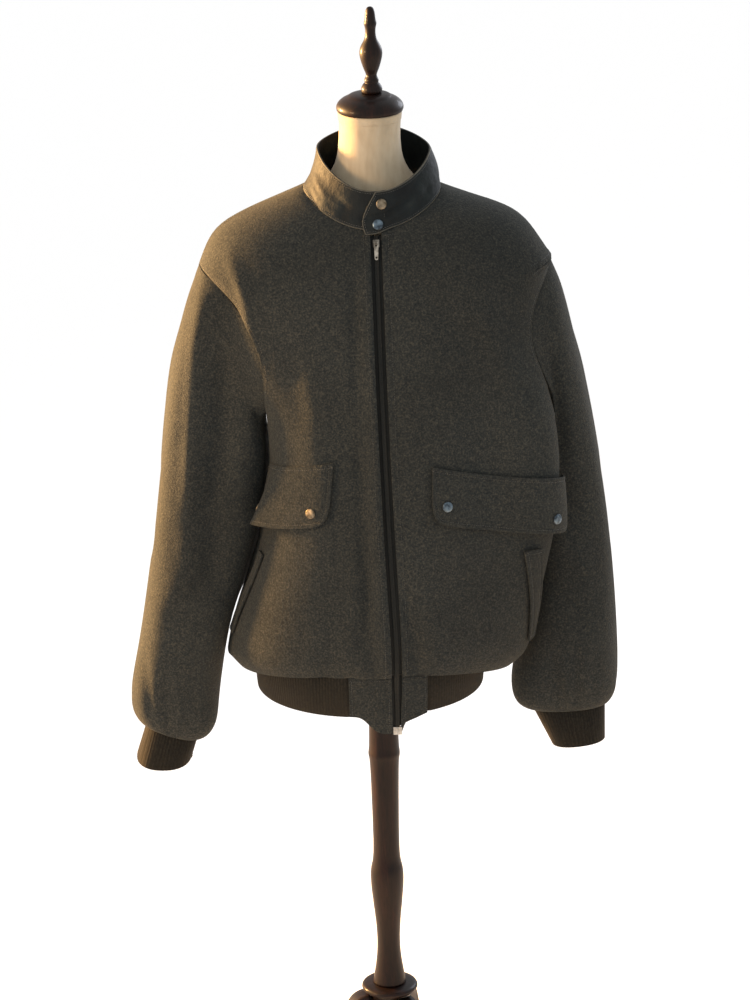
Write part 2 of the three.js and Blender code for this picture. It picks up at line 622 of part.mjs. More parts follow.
function cuff(side) {
  const rings = cuffRings[side];
  const first = rings[0];
  const wide = Math.hypot(first.outerX - first.innerX, first.outerZ - first.innerZ);
  const around = (Math.PI * (wide + first.backY - first.frontY)) / 2;
  const ribs = Math.round(around / ribPitch);
  const rowAt = (up) => {
    const place = (1 - up) * (rings.length - 1);
    const row = {};
    for (const key of Object.keys(first)) row[key] = track(rings, key, place);
    return row;
  };
  return ribbed((share, up) => tubePoint(rowAt(up), 2 * Math.PI * share, side), ribs, ribKnit, true);
}

// The knit hem, from one wool end round the back to the other
function hemRib() {
  const from = (place) => zipAngle(place) + arc(hemEnd.right + zipGap / 2 + seam, zipAngle(place), place);
  const leftEnd = hemEnd.left + zipGap / 2 + seam;
  const to = (place) => zipAngle(place) + 360 * degree - arc(leftEnd, zipAngle(place), place);
  let around = 0;
  for (let k = 0; k < 200; k++) {
    const angle = (a) => from(0.5) + ((to(0.5) - from(0.5)) * a) / 200;
    around += bodyPoint(angle(k + 1), 0.5).distanceTo(bodyPoint(angle(k), 0.5));
  }
  const ribs = Math.round(around / ribPitch);
  const point = (share, up) => {
    const place = up * 0.994;
    return bodyOut(from(place) + (to(place) - from(place)) * share, place, -hemInset);
  };
  return ribbed(point, ribs, ribKnit, false);
}

// Places of the hem's rows, up to the seam
const hemPlaces = [0, 0.33, 0.66, 0.994];

// The wool ends of the hem beside the zip
function hemTab(side) {
  const sign = side === "right" ? 1 : -1;
  const wide = hemEnd[side];
  return bodyWall(hemPlaces, 6, (share, place) => {
    const middle = zipAngle(place);
    return middle + sign * arc(zipGap / 2 + wide * (side === "right" ? share : 1 - share), middle, place);
  }, wool, -hemInset);
}

// A pocket flap with rounded lower corners, sewn along its top and standing off below
function flapPoint(side, across, up, out) {
  const flap = flaps[side];
  const angle = (flap.from + (flap.to - flap.from) * across) * degree;
  const top = flap.topFrom + (flap.topTo - flap.topFrom) * across;
  const width = side === "right" ? 200 : 130;
  const fromEnd = Math.min(across, 1 - across) * width;
  const inside = Math.max(flapCorner - fromEnd, 0);
  const rise = flapCorner - Math.sqrt(flapCorner ** 2 - inside ** 2);
  const low = top - flap.tall + rise;
  const z = low + (top - low) * up;
  const swing = flap.lift * (1 - Math.abs(across - flap.liftAt)) ** flap.liftSharp;
  return bodyOut(angle, placeAtHeight(angle, z, 2.2), out + (2.2 + swing) * (1 - up));
}

// Shares across each flap at which it has a column, close together where it bends
const flapStops = {
  left: [0, 0.03, 0.075, 0.13, 0.22, 0.32, 0.42, 0.52, 0.64, 0.76, 0.87, 0.93, 0.97, 1],
  right: [0, 0.025, 0.06, 0.11, 0.24, 0.37, 0.48, 0.56, 0.63, 0.7, 0.76, 0.82, 0.88, 0.92, 0.96, 1],
};
function flap(side) {
  const grid = (out) =>
    [0, 1 / 3, 2 / 3, 1].map((up) => flapStops[side].map((across) => flapPoint(side, across, up, out)));
  return wallBetween(grid(flapGap + wool), grid(flapGap), false);
}

function welt(side) {
  const w = welts[side];
  const grid = (out) =>
    [0, 0.2, 0.4, 0.6, 0.8, 1].map((up) =>
      [0, 0.5, 1].map((across) => {
        const from = w.lowFrom + (w.highFrom - w.lowFrom) * up;
        const to = w.lowTo + (w.highTo - w.lowTo) * up;
        const angle = (from + (to - from) * across) * degree;
        return bodyOut(angle, placeAtHeight(angle, w.low + (w.high - w.low) * up, 2.2), out);
      }),
    );
  return wallBetween(grid(1.2 + wool), grid(1.2), false);
}

// A strip beside or along the zip, from offsets across it, in the rows of the hem ends and fronts
function zipStrip(fromMm, toMm, face, thick) {
  const top = placeAtHeight(zipAngle(12), zipTopZ);
  const places = [...hemPlaces, ...panelPlaces().filter((place) => place < top), top];
  return bodyWall(places, 2, (share, place) => {
    const middle = zipAngle(place);
    return middle + arc(fromMm + (toMm - fromMm) * share, middle, place);
  }, thick, face - thick + wool);
}

// The collar, a leather band from its lower front end round the neck to the snapped one on top.
// Turn 0 is the front and it runs by the wearer's right, the back and the wearer's left.
const collarSteps = 40;
function collarPoint(turn, up, out) {
  const angle = front - turn;
  const base = bodyPoint(angle, bodyRings.length - 1);
  const c = Math.cos(angle);
  const s = Math.sin(angle);
  const middle = (collar.topLeft + collar.topRight) / 2;
  const half = (collar.topRight - collar.topLeft) / 2;
  const depth = s < 0 ? collar.topFront : collar.topBack;
  const radius = 1 / Math.hypot(c / half, s / depth);
  const tall = collar.tall + collar.taller * (1 + s);
  const top = new THREE.Vector3(middle + radius * c, radius * s, base.z + tall);
  const rise = Math.max(up, 0);
  const p = base.clone().lerp(top, rise);
  const bow = collar.bow * c * Math.sin(Math.PI * rise);
  p.x += c * (out + bow);
  p.y += s * (out + bow) + Math.min(up, 0) * tall * 0.4;
  p.z += seam + 0.05 + Math.min(up, 0) * tall;
  return p;
}

// How far round from a start, eased from 0 to 1 over a length
function ease(value, start, length) {
  const t = Math.min(Math.max((value - start) / length, 0), 1);
  return t * t * (3 - 2 * t);
}

// A point of the collar's outer face, which steps out over its lower end and hangs in a tab below it
function collarFace(turnDegrees, share, out) {
  const low = -0.11 * ease(turnDegrees, 349, 6);
  const lap = (leather + 0.7) * ease(turnDegrees, 334, 12);
  return collarPoint(turnDegrees * degree, low + (1 - low) * share, lap + out);
}

function collarBand() {
  const rows = collarEnds.length - 1;
  const grid = (out) =>
    collarEnds.map((end, i) =>
      Array.from({ length: collarSteps + 1 }, (_, j) =>
        collarFace(end + ((collar.underEnd - end) * j) / collarSteps, i / rows, out),
      ),
    );
  return wallBetween(grid(0), grid(-leather), false);
}

// A snap cap: domed, with a rolled rim, its flat back towards the cloth
function snapCap() {
  const profile = [
    [0, 0], [snapRadius, 0], [snapRadius, snapTall * 0.45], [snapRadius * 0.8, snapTall * 0.8], [0, snapTall],
  ];
  const lathe = new THREE.LatheGeometry(profile.map(([r, z]) => new THREE.Vector2(r, z)), 12);
  lathe.rotateX(180 * degree);
  return lathe;
}

// Turns a lathe profile about +Z
function turned(profile, sides) {
  const lathe = new THREE.LatheGeometry(profile.map((p) => new THREE.Vector2(p.r, p.z)), sides);
  lathe.rotateX(90 * degree);
  return lathe;
}

// The dress form, a solid of stacked rings closed at both ends
function formTorso() {
  const columns = 18;
  const places = [];
  for (let k = 0; k < formRings.length; k++) places.push(k);
  const positions = [];
  const index = [];
  places.forEach((place) => {
    for (let j = 0; j < columns; j++) {
      const p = ringPoint(formRings, (2 * Math.PI * j) / columns, place);
      positions.push(p.x, p.y, p.z);
    }
  });
  const at = (i, j) => i * columns + (j % columns);
  for (let i = 0; i < places.length - 1; i++) {
    for (let j = 0; j < columns; j++) {
      index.push(at(i, j), at(i, j + 1), at(i + 1, j + 1), at(i, j), at(i + 1, j + 1), at(i + 1, j));
    }
  }
  const topRow = places.length - 1;
  const low = positions.length / 3;
  positions.push(0, 0, formRings[0].leftZ, neckTopX, neckTopY, formRings[topRow].leftZ);
  for (let j = 0; j < columns; j++) {
    index.push(low, at(0, j + 1), at(0, j), low + 1, at(topRow, j), at(topRow, j + 1));
  }
  const geometry = new THREE.BufferGeometry();
  geometry.setAttribute("position", new THREE.Float32BufferAttribute(positions, 3));
  geometry.setIndex(index);
  geometry.computeVertexNormals();
  return geometry;
}

// One leg: its side outline, extruded across
function leg() {
  const outline = new THREE.Shape([...legOver, ...legUnder].map((p) => new THREE.Vector2(p.out, p.z)));
  const solid = new THREE.ExtrudeGeometry(outline, { depth: legThick, bevelEnabled: false });
  solid.translate(0, 0, -legThick / 2);
  solid.rotateX(90 * degree);
  return solid;
}

// A closed geometry as a manifold-3d solid, and back
function solid(geometry) {
  const bare = geometry.index ? geometry.toNonIndexed() : geometry.clone();
  bare.deleteAttribute("normal");
  bare.deleteAttribute("uv");
  const merged = mergeVertices(bare, 1e-4);
  return new wasm.Manifold(
    new wasm.Mesh({
      numProp: 3,
      vertProperties: merged.attributes.position.array,
      triVerts: new Uint32Array(merged.index.array),
    }),
  );
}

function geometryOf(made) {
  const mesh = made.getMesh();
  const geometry = new THREE.BufferGeometry();
  geometry.setAttribute("position", new THREE.BufferAttribute(mesh.vertProperties, 3));
  geometry.setIndex(new THREE.BufferAttribute(mesh.triVerts, 1));
  geometry.computeVertexNormals();
  return geometry;
}

function block(x, y, z, w, d, h) {
  const made = new THREE.BoxGeometry(w, d, h);
  made.translate(x, y, z);
  return made;
}

// The zip slider, in its own frame: +Y towards the cloth, +Z up the zip. Its bridge carries the pull.
const slider = { wide: 8.4, tall: 10, thick: 2.6, bridgeWide: 1.8, bridgeOut: 3.4, pivotOut: 1.9 };
function zipSlider() {
  const body = solid(block(0, -slider.thick / 2, 0, slider.wide, slider.thick, slider.tall));
  const post = slider.thick + slider.bridgeOut;
  const archDeep = post - 0.8 + slider.thick / 2;
  const archY = -slider.thick / 2 - post / 2 + 0.4;
  const arch = solid(block(0, archY, 0, slider.bridgeWide, archDeep, slider.tall * 0.62));
  const holeY = -slider.thick - slider.pivotOut + 0.3;
  const hole = solid(block(0, holeY, 0, slider.bridgeWide * 2, 2, slider.tall * 0.34));
  return geometryOf(body.add(arch).subtract(hole));
}

// The pull: a flat tab whose eye goes round the slider's bridge, hanging down from its pivot
const pull = { wide: 6, long: 21, thick: 1.1, eye: 2.6 };
function zipPull() {
  const outline = new THREE.Shape();
  const half = pull.wide / 2;
  outline.moveTo(-half, 0.55);
  outline.lineTo(-half * 0.8, -pull.long);
  outline.absarc(0, -pull.long, half * 0.8, Math.PI, 2 * Math.PI, false);
  outline.lineTo(half, 0.55);
  outline.lineTo(-half, 0.55);
  const eye = new THREE.Path();
  const eyeHalf = pull.eye / 2;
  eye.moveTo(-eyeHalf, -0.55);
  eye.lineTo(eyeHalf, -0.55);
  eye.lineTo(eyeHalf, -5.2);
  eye.lineTo(-eyeHalf, -5.2);
  eye.lineTo(-eyeHalf, -0.55);
  const hole = new THREE.Path();
  hole.absarc(0, -pull.long + 1, 1.3, 0, 2 * Math.PI, true);
  outline.holes.push(eye, hole);
  const made = new THREE.ExtrudeGeometry(outline, {
    depth: pull.thick,
    bevelEnabled: false,
    curveSegments: 5,
  });
  made.translate(0, 0, -pull.thick / 2);
  made.rotateX(90 * degree);
  return made;
}

// Colours, roughness and metalness of what each piece is made of
const finish = {
  wool: new THREE.MeshStandardMaterial({ color: 0x3a3830, roughness: 0.95 }),
  leather: new THREE.MeshStandardMaterial({ color: 0x33342f, roughness: 0.5 }),
  rib: new THREE.MeshStandardMaterial({ color: 0x2c2620, roughness: 0.95 }),
  tape: new THREE.MeshStandardMaterial({ color: 0x26282a, roughness: 0.8 }),
  metal: new THREE.MeshStandardMaterial({ color: 0x7d766a, roughness: 0.4, metalness: 0.9 }),
  linen: new THREE.MeshStandardMaterial({ color: 0xcdbb9a, roughness: 0.9 }),
  wood: new THREE.MeshStandardMaterial({ color: 0x3b2219, roughness: 0.35 }),
};

const stand = new THREE.Group();
function add(name, geometry, material, parent = stand) {
  const mesh = new THREE.Mesh(geometry, material);
  mesh.name = name;
  parent.add(mesh);
  return mesh;
}

// A snap seated on the outside of a piece, near a point of a face that is given by two shares
function snapOn(name, piece, pointAt, across, up, off = seam) {
  const at = pointAt(across, up);
  const right = pointAt(across + 0.01, up).sub(at);
  const above = pointAt(across, up + 0.01).sub(at);
  const outward = right.cross(above).normalize();
  const ray = new THREE.Raycaster(at.addScaledVector(outward, 20), outward.negate());
  const { point, face } = ray.intersectObject(piece)[0];
  const mesh = add(name, snapCap(), finish.metal);
  mesh.position.copy(point).addScaledVector(face.normal, off + 0.05);
  mesh.quaternion.setFromUnitVectors(new THREE.Vector3(0, -1, 0), face.normal);
}

// The jacket's cloth
add("front_left", bodyPanel(zipEdge(1), sideEdge("right", "front", 0, -1), 14), finish.wool);
add("front_right", bodyPanel(sideEdge("left", "front", -1, 1), zipEdge(-1), 14), finish.wool);
add("back", bodyPanel(sideEdge("right", "back", 0, 1), sideEdge("left", "back", 0, -1), 18), finish.wool);
add("sleeve_left", sleeve("right"), finish.wool);
add("sleeve_right", sleeve("left"), finish.wool);
add("cuff_left", cuff("right"), finish.rib);
add("cuff_right", cuff("left"), finish.rib);
add("hem_rib", hemRib(), finish.rib);
add("hem_end_left", hemTab("right"), finish.wool);
add("hem_end_right", hemTab("left"), finish.wool);
const collarPiece = add("collar", collarBand(), finish.leather);
const flapPieces = {
  left: add("flap_left", flap("right"), finish.wool),
  right: add("flap_right", flap("left"), finish.wool),
};
add("welt_left", welt("right"), finish.wool);
add("welt_right", welt("left"), finish.wool);

// The zip
const tapeFace = -(wool + hemInset + 0.4);
const chainFace = tapeFace + chainThick - tapeCloth;
const tapeFrom = chainWidth / 2 + seam;
add("zip_tape_left", zipStrip(tapeFrom, tapeFrom + tapeWidth, tapeFace, tapeCloth), finish.tape);
add("zip_tape_right", zipStrip(-tapeFrom - tapeWidth, -tapeFrom, tapeFace, tapeCloth), finish.tape);
add("zip_chain", zipStrip(-chainWidth / 2, chainWidth / 2, chainFace, chainThick), finish.tape);

// The slider at the top of the zip and its pull, with the pivot between them
const sliderZ = 1336;
const sliderPlace = placeAtHeight(zipAngle(12.5), sliderZ);
const sliderAngle = zipAngle(sliderPlace);
const sliderTilt = (() => {
  const normal = bodyNormal(sliderAngle, sliderPlace);
  return Math.atan2(normal.z, -normal.y);
})();
const zip = new THREE.Group();
zip.position.copy(bodyOut(sliderAngle, sliderPlace, chainFace + seam));
zip.rotation.x = -sliderTilt;
stand.add(zip);
add("zip_slider", zipSlider(), finish.metal, zip);
const tab = add("zip_pull", zipPull(), finish.metal, zip);
tab.position.set(0, -slider.thick - slider.pivotOut + 0.3, 0.4);
tab.rotation.x = 7 * degree;
const zipFoot = bodyOut(zipAngle(0), 0, chainFace);
const boxZ = zipFoot.z - seam - zipBox.tall / 2;
const boxSolid = block(zipFoot.x, zipFoot.y + chainThick / 2, boxZ, zipBox.wide, zipBox.thick, zipBox.tall);
add("zip_box", boxSolid, finish.metal);

// Snaps on the flaps and the collar
const flapSnaps = {
  left: { side: "right", spots: [[0.12, 0.34], [0.81, 0.26]] },
  right: { side: "left", spots: [[0.12, 0.26, 1.2], [0.82, 0.24]] },
};
for (const [name, { side, spots }] of Object.entries(flapSnaps)) {
  spots.forEach(([across, up, off], k) => {
    const faceAt = (a, u) => flapPoint(side, a, u, flapGap + wool);
    snapOn(`snap_flap_${name}_${k + 1}`, flapPieces[name], faceAt, across, up, off);
  });
}
const collarSnaps = [[356, 0.23, 0.7], [353.5, 0.7, 0.9]];
collarSnaps.forEach(([turn, up, off], k) => {
  snapOn(`snap_collar_${k + 1}`, collarPiece, (a, u) => collarFace(turn - (a - turn), u, 0), turn, up, off);
});

// The dress form and its stand
add("form_torso", formTorso(), finish.linen);
const crown = new THREE.Group();
crown.position.set(neckTopX, neckTopY, neckTopZ);
crown.rotation.x = neckTilt;
stand.add(crown);
add("neck_cap", turned(capProfile, 18), finish.wood, crown);
add("finial", turned(finialProfile, 14), finish.wood, crown).position.x = 3;
add("pole", turned(poleProfile, 16), finish.wood);
add("hub", turned(hubProfile, 18), finish.wood);
legTurns.forEach((turn, k) => {
  add(`leg_${k + 1}`, leg(), finish.wood).rotation.z = turn * degree;
});

// The origin is the middle of the whole part's box, on the floor
stand.position.set(11.5, -11.5, 0);

export default stand;
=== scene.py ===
# A wool blouson jacket on a dress form with a turned stand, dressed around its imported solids.
import math

import bmesh
import bpy
import numpy as np
from mathutils import Matrix, Vector
from mathutils.bvhtree import BVHTree


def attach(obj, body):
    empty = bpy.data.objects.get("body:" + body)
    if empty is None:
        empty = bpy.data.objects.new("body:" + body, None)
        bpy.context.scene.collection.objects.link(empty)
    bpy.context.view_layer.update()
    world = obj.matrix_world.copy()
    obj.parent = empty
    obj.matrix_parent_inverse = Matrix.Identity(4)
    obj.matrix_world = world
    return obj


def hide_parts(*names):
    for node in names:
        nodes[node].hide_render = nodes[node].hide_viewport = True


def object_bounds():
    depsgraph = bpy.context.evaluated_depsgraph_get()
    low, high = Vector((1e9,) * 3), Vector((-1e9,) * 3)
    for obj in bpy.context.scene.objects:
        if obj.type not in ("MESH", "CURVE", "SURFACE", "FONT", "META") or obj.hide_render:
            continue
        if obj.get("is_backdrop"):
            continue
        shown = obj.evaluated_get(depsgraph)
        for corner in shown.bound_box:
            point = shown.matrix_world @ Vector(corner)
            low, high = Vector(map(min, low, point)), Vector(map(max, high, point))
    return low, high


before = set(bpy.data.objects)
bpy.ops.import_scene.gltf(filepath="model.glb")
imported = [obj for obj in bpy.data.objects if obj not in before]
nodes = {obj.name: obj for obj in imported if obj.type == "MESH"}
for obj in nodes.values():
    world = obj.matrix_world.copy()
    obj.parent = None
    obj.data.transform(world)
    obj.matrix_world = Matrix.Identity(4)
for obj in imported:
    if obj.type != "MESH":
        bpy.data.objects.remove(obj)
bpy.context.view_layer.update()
MM = 0.001

# The camera stands 3.5 m in front of the form, at a tall person's eye height, and looks down a little.
# The photograph is 750 by 1000 pixels, and its lens is worked out from the 1000.
LONG_SIDE_PX, FOCAL_PX = 1000, 2592
VIEW_CENTRE_PX = (378, 500)
EYE = Vector((0.0115, -3.5115, 1.982))
LOOK_DOWN, ROLL = math.radians(16.4), math.radians(1.4)

camera = bpy.data.objects.new("camera", bpy.data.cameras.new("camera"))
camera.data.sensor_width = 36
camera.data.lens = FOCAL_PX / LONG_SIDE_PX * camera.data.sensor_width
camera.data.shift_x = (375 - VIEW_CENTRE_PX[0]) / LONG_SIDE_PX
camera.data.shift_y = (VIEW_CENTRE_PX[1] - 500) / LONG_SIDE_PX
turned_up = Matrix.Rotation(math.pi / 2 - LOOK_DOWN, 4, "X")
camera.matrix_world = Matrix.Translation(EYE) @ turned_up @ Matrix.Rotation(-ROLL, 4, "Z")
bpy.context.scene.collection.objects.link(camera)
bpy.context.scene.camera = camera


# Wool cloth: a milled, brushed woollen of charcoal and olive-brown fibres, cut into two fronts, a back
# and two sleeves. The heather and the short nap give soft mottling with no shine, and a faint bloom
# at the edges. Each panel is its solid's wall with finer creases pressed into it.
def linear(code):
    """A #rrggbb colour as linear RGBA."""
    parts = [int(code[i : i + 2], 16) / 255 for i in (1, 3, 5)]
    return [c / 12.92 if c <= 0.04045 else ((c + 0.055) / 1.055) ** 2.4 for c in parts] + [1]


def node(tree, kind, inputs, out=0, stops=(), **settings):
    """Adds a node with its settings, its inputs and a colour ramp's stops, and gives one of its outputs.

    Each input is a number, a #rrggbb colour, or the output to link to it."""
    made = tree.nodes.new(kind)
    for key, value in settings.items():
        setattr(made, key, value)
    for key, value in inputs.items():
        if isinstance(value, bpy.types.NodeSocket):
            tree.links.new(value, made.inputs[key])
        else:
            made.inputs[key].default_value = linear(value) if isinstance(value, str) else value
    if stops:
        band = made.color_ramp
        while len(band.elements) < len(stops):
            band.elements.new(0.5)
        for element, (at, code) in zip(band.elements, stops):
            element.position = at
            element.color = linear(code)
    return made.outputs[out] if made.outputs else made


def material(name):
    """A material named for what it is made of, its node tree, and its Object coordinates."""
    made = bpy.data.materials.new(name)
    made.use_nodes = True
    tree = made.node_tree
    tree.nodes.clear()
    return made, tree, node(tree, "ShaderNodeTexCoord", {}, "Object")


# A noise of BLOBS over a size in mm has blobs about that size across
BLOBS = 0.5 / MM
# The colour sockets of a Mix node
SHARE, FIRST, SECOND, MIXED = 0, 6, 7, 2

# Fibres are 0.03 mm thick, so the heather is drawn as tufts and clumps that are wide enough to show.
# Its slow drift is the unevenness of the milling and of wear.
TUFT, CLUMP, DRIFT = 1.3, 3.2, 90
CHARCOAL, GREY, OLIVE = "#181b1d", "#242828", "#403f39"
wool, tree, place = material("milled wool, charcoal and olive heather")
tufts = node(
    tree, "ShaderNodeTexNoise", {"Vector": place, "Scale": BLOBS / TUFT, "Detail": 3, "Roughness": 0.75}
)
clumps = node(
    tree, "ShaderNodeTexNoise", {"Vector": place, "Scale": BLOBS / CLUMP, "Detail": 2, "Roughness": 0.6}
)
drift = node(
    tree, "ShaderNodeTexNoise", {"Vector": place, "Scale": BLOBS / DRIFT, "Detail": 2, "Roughness": 0.5}
)
heather = node(
    tree, "ShaderNodeValToRGB", {"Fac": tufts}, stops=[(0.34, CHARCOAL), (0.5, GREY), (0.68, OLIVE)]
)
patches = node(tree, "ShaderNodeValToRGB", {"Fac": clumps}, stops=[(0.34, CHARCOAL), (0.68, OLIVE)])
colour = node(
    tree, "ShaderNodeMix", {SHARE: 0.16, FIRST: heather, SECOND: patches}, MIXED, data_type="RGBA"
)
worn = node(tree, "ShaderNodeValToRGB", {"Fac": drift}, stops=[(0.35, "#e6e6e6"), (0.65, "#ffffff")])
colour = node(
    tree,
    "ShaderNodeMix",
    {SHARE: 1.0, FIRST: colour, SECOND: worn},
    MIXED,
    data_type="RGBA",
    blend_type="MULTIPLY",
)
nap = node(tree, "ShaderNodeBump", {"Height": clumps, "Distance": 1.0 * MM, "Strength": 0.5})
nap = node(
    tree, "ShaderNodeBump", {"Height": tufts, "Distance": 1.1 * MM, "Strength": 1.0, "Normal": nap}
)
surface = node(
    tree,
    "ShaderNodeBsdfPrincipled",
    {
        "Base Color": colour,
        "Normal": nap,
        "Roughness": 0.95,
        "Specular IOR Level": 0.12,
        "Sheen Weight": 0.12,
        "Sheen Roughness": 0.5,
        "Sheen Tint": "#8f8a7c",
    },
)
node(tree, "ShaderNodeOutputMaterial", {"Surface": surface})


def quads_of(name):
    """A copy of a CAD node as quads with its vertices merged."""
    mesh = bmesh.new()
    mesh.from_mesh(nodes[name].data)
    bmesh.ops.remove_doubles(mesh, verts=mesh.verts, dist=0.02 * MM)
    bmesh.ops.join_triangles(
        mesh,
        faces=mesh.faces,
        angle_face_threshold=math.radians(40),
        angle_shape_threshold=math.radians(60),
    )
    return mesh


WALL_TURN = math.radians(50)


def crease_corners(mesh, turn=WALL_TURN):
    """Marks the edges where a wall turns, so that they stay firm under subdivision."""
    layer = mesh.edges.layers.float.get("crease_edge") or mesh.edges.layers.float.new("crease_edge")
    for edge in mesh.edges:
        if len(edge.link_faces) == 2 and edge.calc_face_angle() > turn:
            edge[layer] = 1.0


def piece(name, mesh, finish_of, levels=0, body="jacket_and_form"):
    """Turns a bmesh into a smooth object that rides on its body."""
    data = bpy.data.meshes.new(name)
    mesh.to_mesh(data)
    mesh.free()
    made = bpy.data.objects.new(name, data)
    bpy.context.scene.collection.objects.link(made)
    data.materials.append(finish_of)
    for polygon in data.polygons:
        polygon.use_smooth = True
    if levels:
        smooth = made.modifiers.new("subdivision", "SUBSURF")
        smooth.levels = smooth.render_levels = levels
    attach(made, body)
    return made


def apply_modifiers(made):
    """Replaces an object's mesh by what its modifiers make of it."""
    bpy.context.view_layer.update()
    graph = bpy.context.evaluated_depsgraph_get()
    data = bpy.data.meshes.new_from_object(made.evaluated_get(graph))
    made.modifiers.clear()
    made.data = data


def points_of(made):
    flat = np.zeros(len(made.data.vertices) * 3, np.float32)
    made.data.vertices.foreach_get("co", flat)
    return flat.reshape(-1, 3).astype(float)


def set_points(made, points):
    made.data.vertices.foreach_set("co", points.astype(np.float32).ravel())
    made.data.update()


def smoothstep(value):
    value = np.clip(value, 0, 1)
    return value * value * (3 - 2 * value)


# The middle line that each piece's creases are pressed towards: rows of z, x and y in mm. Above the
# shoulder's dome, in m, they are pressed downwards too.
BODY_AXIS = [(600, 12, -20), (1500, 12, -15)]
SLEEVE_AXIS = {
    "sleeve_left": [
        (560, 285, 0),
        (640, 275, 2),
        (740, 282, 12),
        (880, 282, 20),
        (1060, 270, 24),
        (1300, 225, 8),
    ],
    "sleeve_right": [
        (560, -300, -8),
        (640, -292, -8),
        (740, -276, -5),
        (880, -240, 2),
        (1060, -203, 4),
        (1300, -215, -4),
    ],
}
SHOULDER_DOME, DOME_STEEP = 1.24, 1.6
# The body is wider than it is deep, so its sides count for less
FLATTENED = 0.7


def outward(points, axis, dome=None):
    """Unit directions away from an axis, and upwards above the dome's height."""
    axis = np.array(axis) * MM
    away = np.array(points, float)
    away[:, 0] -= np.interp(away[:, 2], axis[:, 0], axis[:, 1])
    away[:, 1] -= np.interp(away[:, 2], axis[:, 0], axis[:, 2])
    rise = away[:, 2].copy()
    away[:, 0] *= FLATTENED
    away[:, 2] = 0 if dome is None else np.maximum(rise - dome, 0) * DOME_STEEP
    return away / np.maximum(np.linalg.norm(away, axis=1), 1e-6)[:, None]


# For each side: the axis across it, the axis that it faces along, and which way
SIDES = {"front": (0, 1, -1), "back": (0, 1, 1), "plus": (1, 0, 1), "minus": (1, 0, -1)}
# How fast a crease fades sideways, and the shares of its length over which its ends fade and overrun
FADE, END_FADE, OVERRUN = 1.4, 0.35, 0.12


def press(made, axis, creases, dome=None):
    """Presses soft troughs (depth below 0) and ridges into a piece along lines drawn on one side of it."""
    points = points_of(made)
    away = outward(points, axis, dome)
    shift = np.zeros(len(points))
    for side, x0, z0, x1, z1, width, depth in creases:
        across, facing, sign = SIDES[side]
        at = points[:, [across, 2]] / MM
        start, run = np.array([x0, z0]), np.array([x1 - x0, z1 - z0])
        along = (at - start) @ run / (run @ run)
        off = at - start - np.clip(along, 0, 1)[:, None] * run
        near = np.exp(-FADE * (np.linalg.norm(off, axis=1) / width) ** 2)
        taper = smoothstep((along + OVERRUN) / END_FADE) * smoothstep((1 + OVERRUN - along) / END_FADE)
        faces = smoothstep((away[:, facing] * sign - 0.1) / 0.4)
        shift += depth * MM * near * taper * faces
    set_points(made, points + away * shift[:, None])


# A rim edge has a face that looks outwards at least this much, and runs along the wall, not through it
LOOKS_OUT, THROUGH = 0.45, 0.75


def rim_chains(made, axis, dome=None, keep=None):
    """The outer rim of a wall piece, as chains of (point, direction into the face)."""
    mesh = bmesh.new()
    mesh.from_mesh(made.data)
    mesh.normal_update()
    turning = [e for e in mesh.edges if len(e.link_faces) == 2 and e.calc_face_angle() > WALL_TURN]
    middles = np.array([(e.verts[0].co + e.verts[1].co) / 2 for e in turning])
    joined, into = {}, {}
    for edge, middle, away in zip(turning, middles, outward(middles, axis, dome)):
        away = Vector(away)
        face = max(edge.link_faces, key=lambda f: f.normal.dot(away))
        along = (edge.verts[1].co - edge.verts[0].co).normalized()
        if face.normal.dot(away) < LOOKS_OUT or abs(along.dot(away)) > THROUGH:
            continue
        if keep is not None and not keep(middle / MM):
            continue
        inside = face.calc_center_median() - Vector(middle)
        inside = (inside - along * inside.dot(along)).normalized()
        for one, other in (edge.verts, reversed(edge.verts)):
            joined.setdefault(one.index, []).append(other.index)
            into.setdefault(one.index, []).append(inside)
    mesh.verts.ensure_lookup_table()
    places = {i: mesh.verts[i].co.copy() for i in joined}
    mesh.free()
    chains, left = [], set(joined)
    while left:
        ends = [i for i in left if len(joined[i]) == 1]
        at = min(ends) if ends else min(left)
        chain = [at]
        left.discard(at)
        while True:
            onward = [i for i in joined[at] if i in left]
            if not onward:
                break
            at = onward[0]
            left.discard(at)
            chain.append(at)
        closed = len(chain) > 3 and chain[0] in joined[chain[-1]]
        row = [(places[i], sum(into[i], Vector()).normalized()) for i in chain]
        chains.append(row + row[:1] if closed else row)
    return [chain for chain in chains if len(chain) > 3]


def edge_distance(made, chains):
    """How far each point of a piece is from its rim, in mm, kept as the attribute edge_mm."""
    rim = np.array([p + (q - p) * t for c in chains for (p, _), (q, _) in zip(c, c[1:]) for t in (0, 0.5)])
    points = points_of(made)
    distance = np.empty(len(points))
    for start in range(0, len(points), 500):
        block = points[start : start + 500]
        distance[start : start + 500] = np.linalg.norm(block[:, None] - rim[None], axis=2).min(1)
    distance /= MM
    layer = made.data.attributes.new("edge_mm", "FLOAT", "POINT")
    layer.data.foreach_set("value", distance.astype(np.float32))
    return distance


def round_edges(made, width, segments=2):
    bevel = made.modifiers.new("rounded edges", "BEVEL")
    bevel.width, bevel.segments = width * MM, segments
    bevel.limit_method, bevel.angle_limit = "ANGLE", WALL_TURN
    bevel.harden_normals = False


def cloth(name, creases, axis, dome=None, levels=2, rounding=0.9, finish_of=wool):
    """A cloth panel: its solid's wall, smoothed and creased, and rounded where it turns at the seams."""
    mesh = quads_of(name)
    crease_corners(mesh)
    made = piece(name + "_cloth", mesh, finish_of, levels)
    apply_modifiers(made)
    press(made, axis, creases, dome)
    round_edges(made, rounding)
    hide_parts(name)
    return made


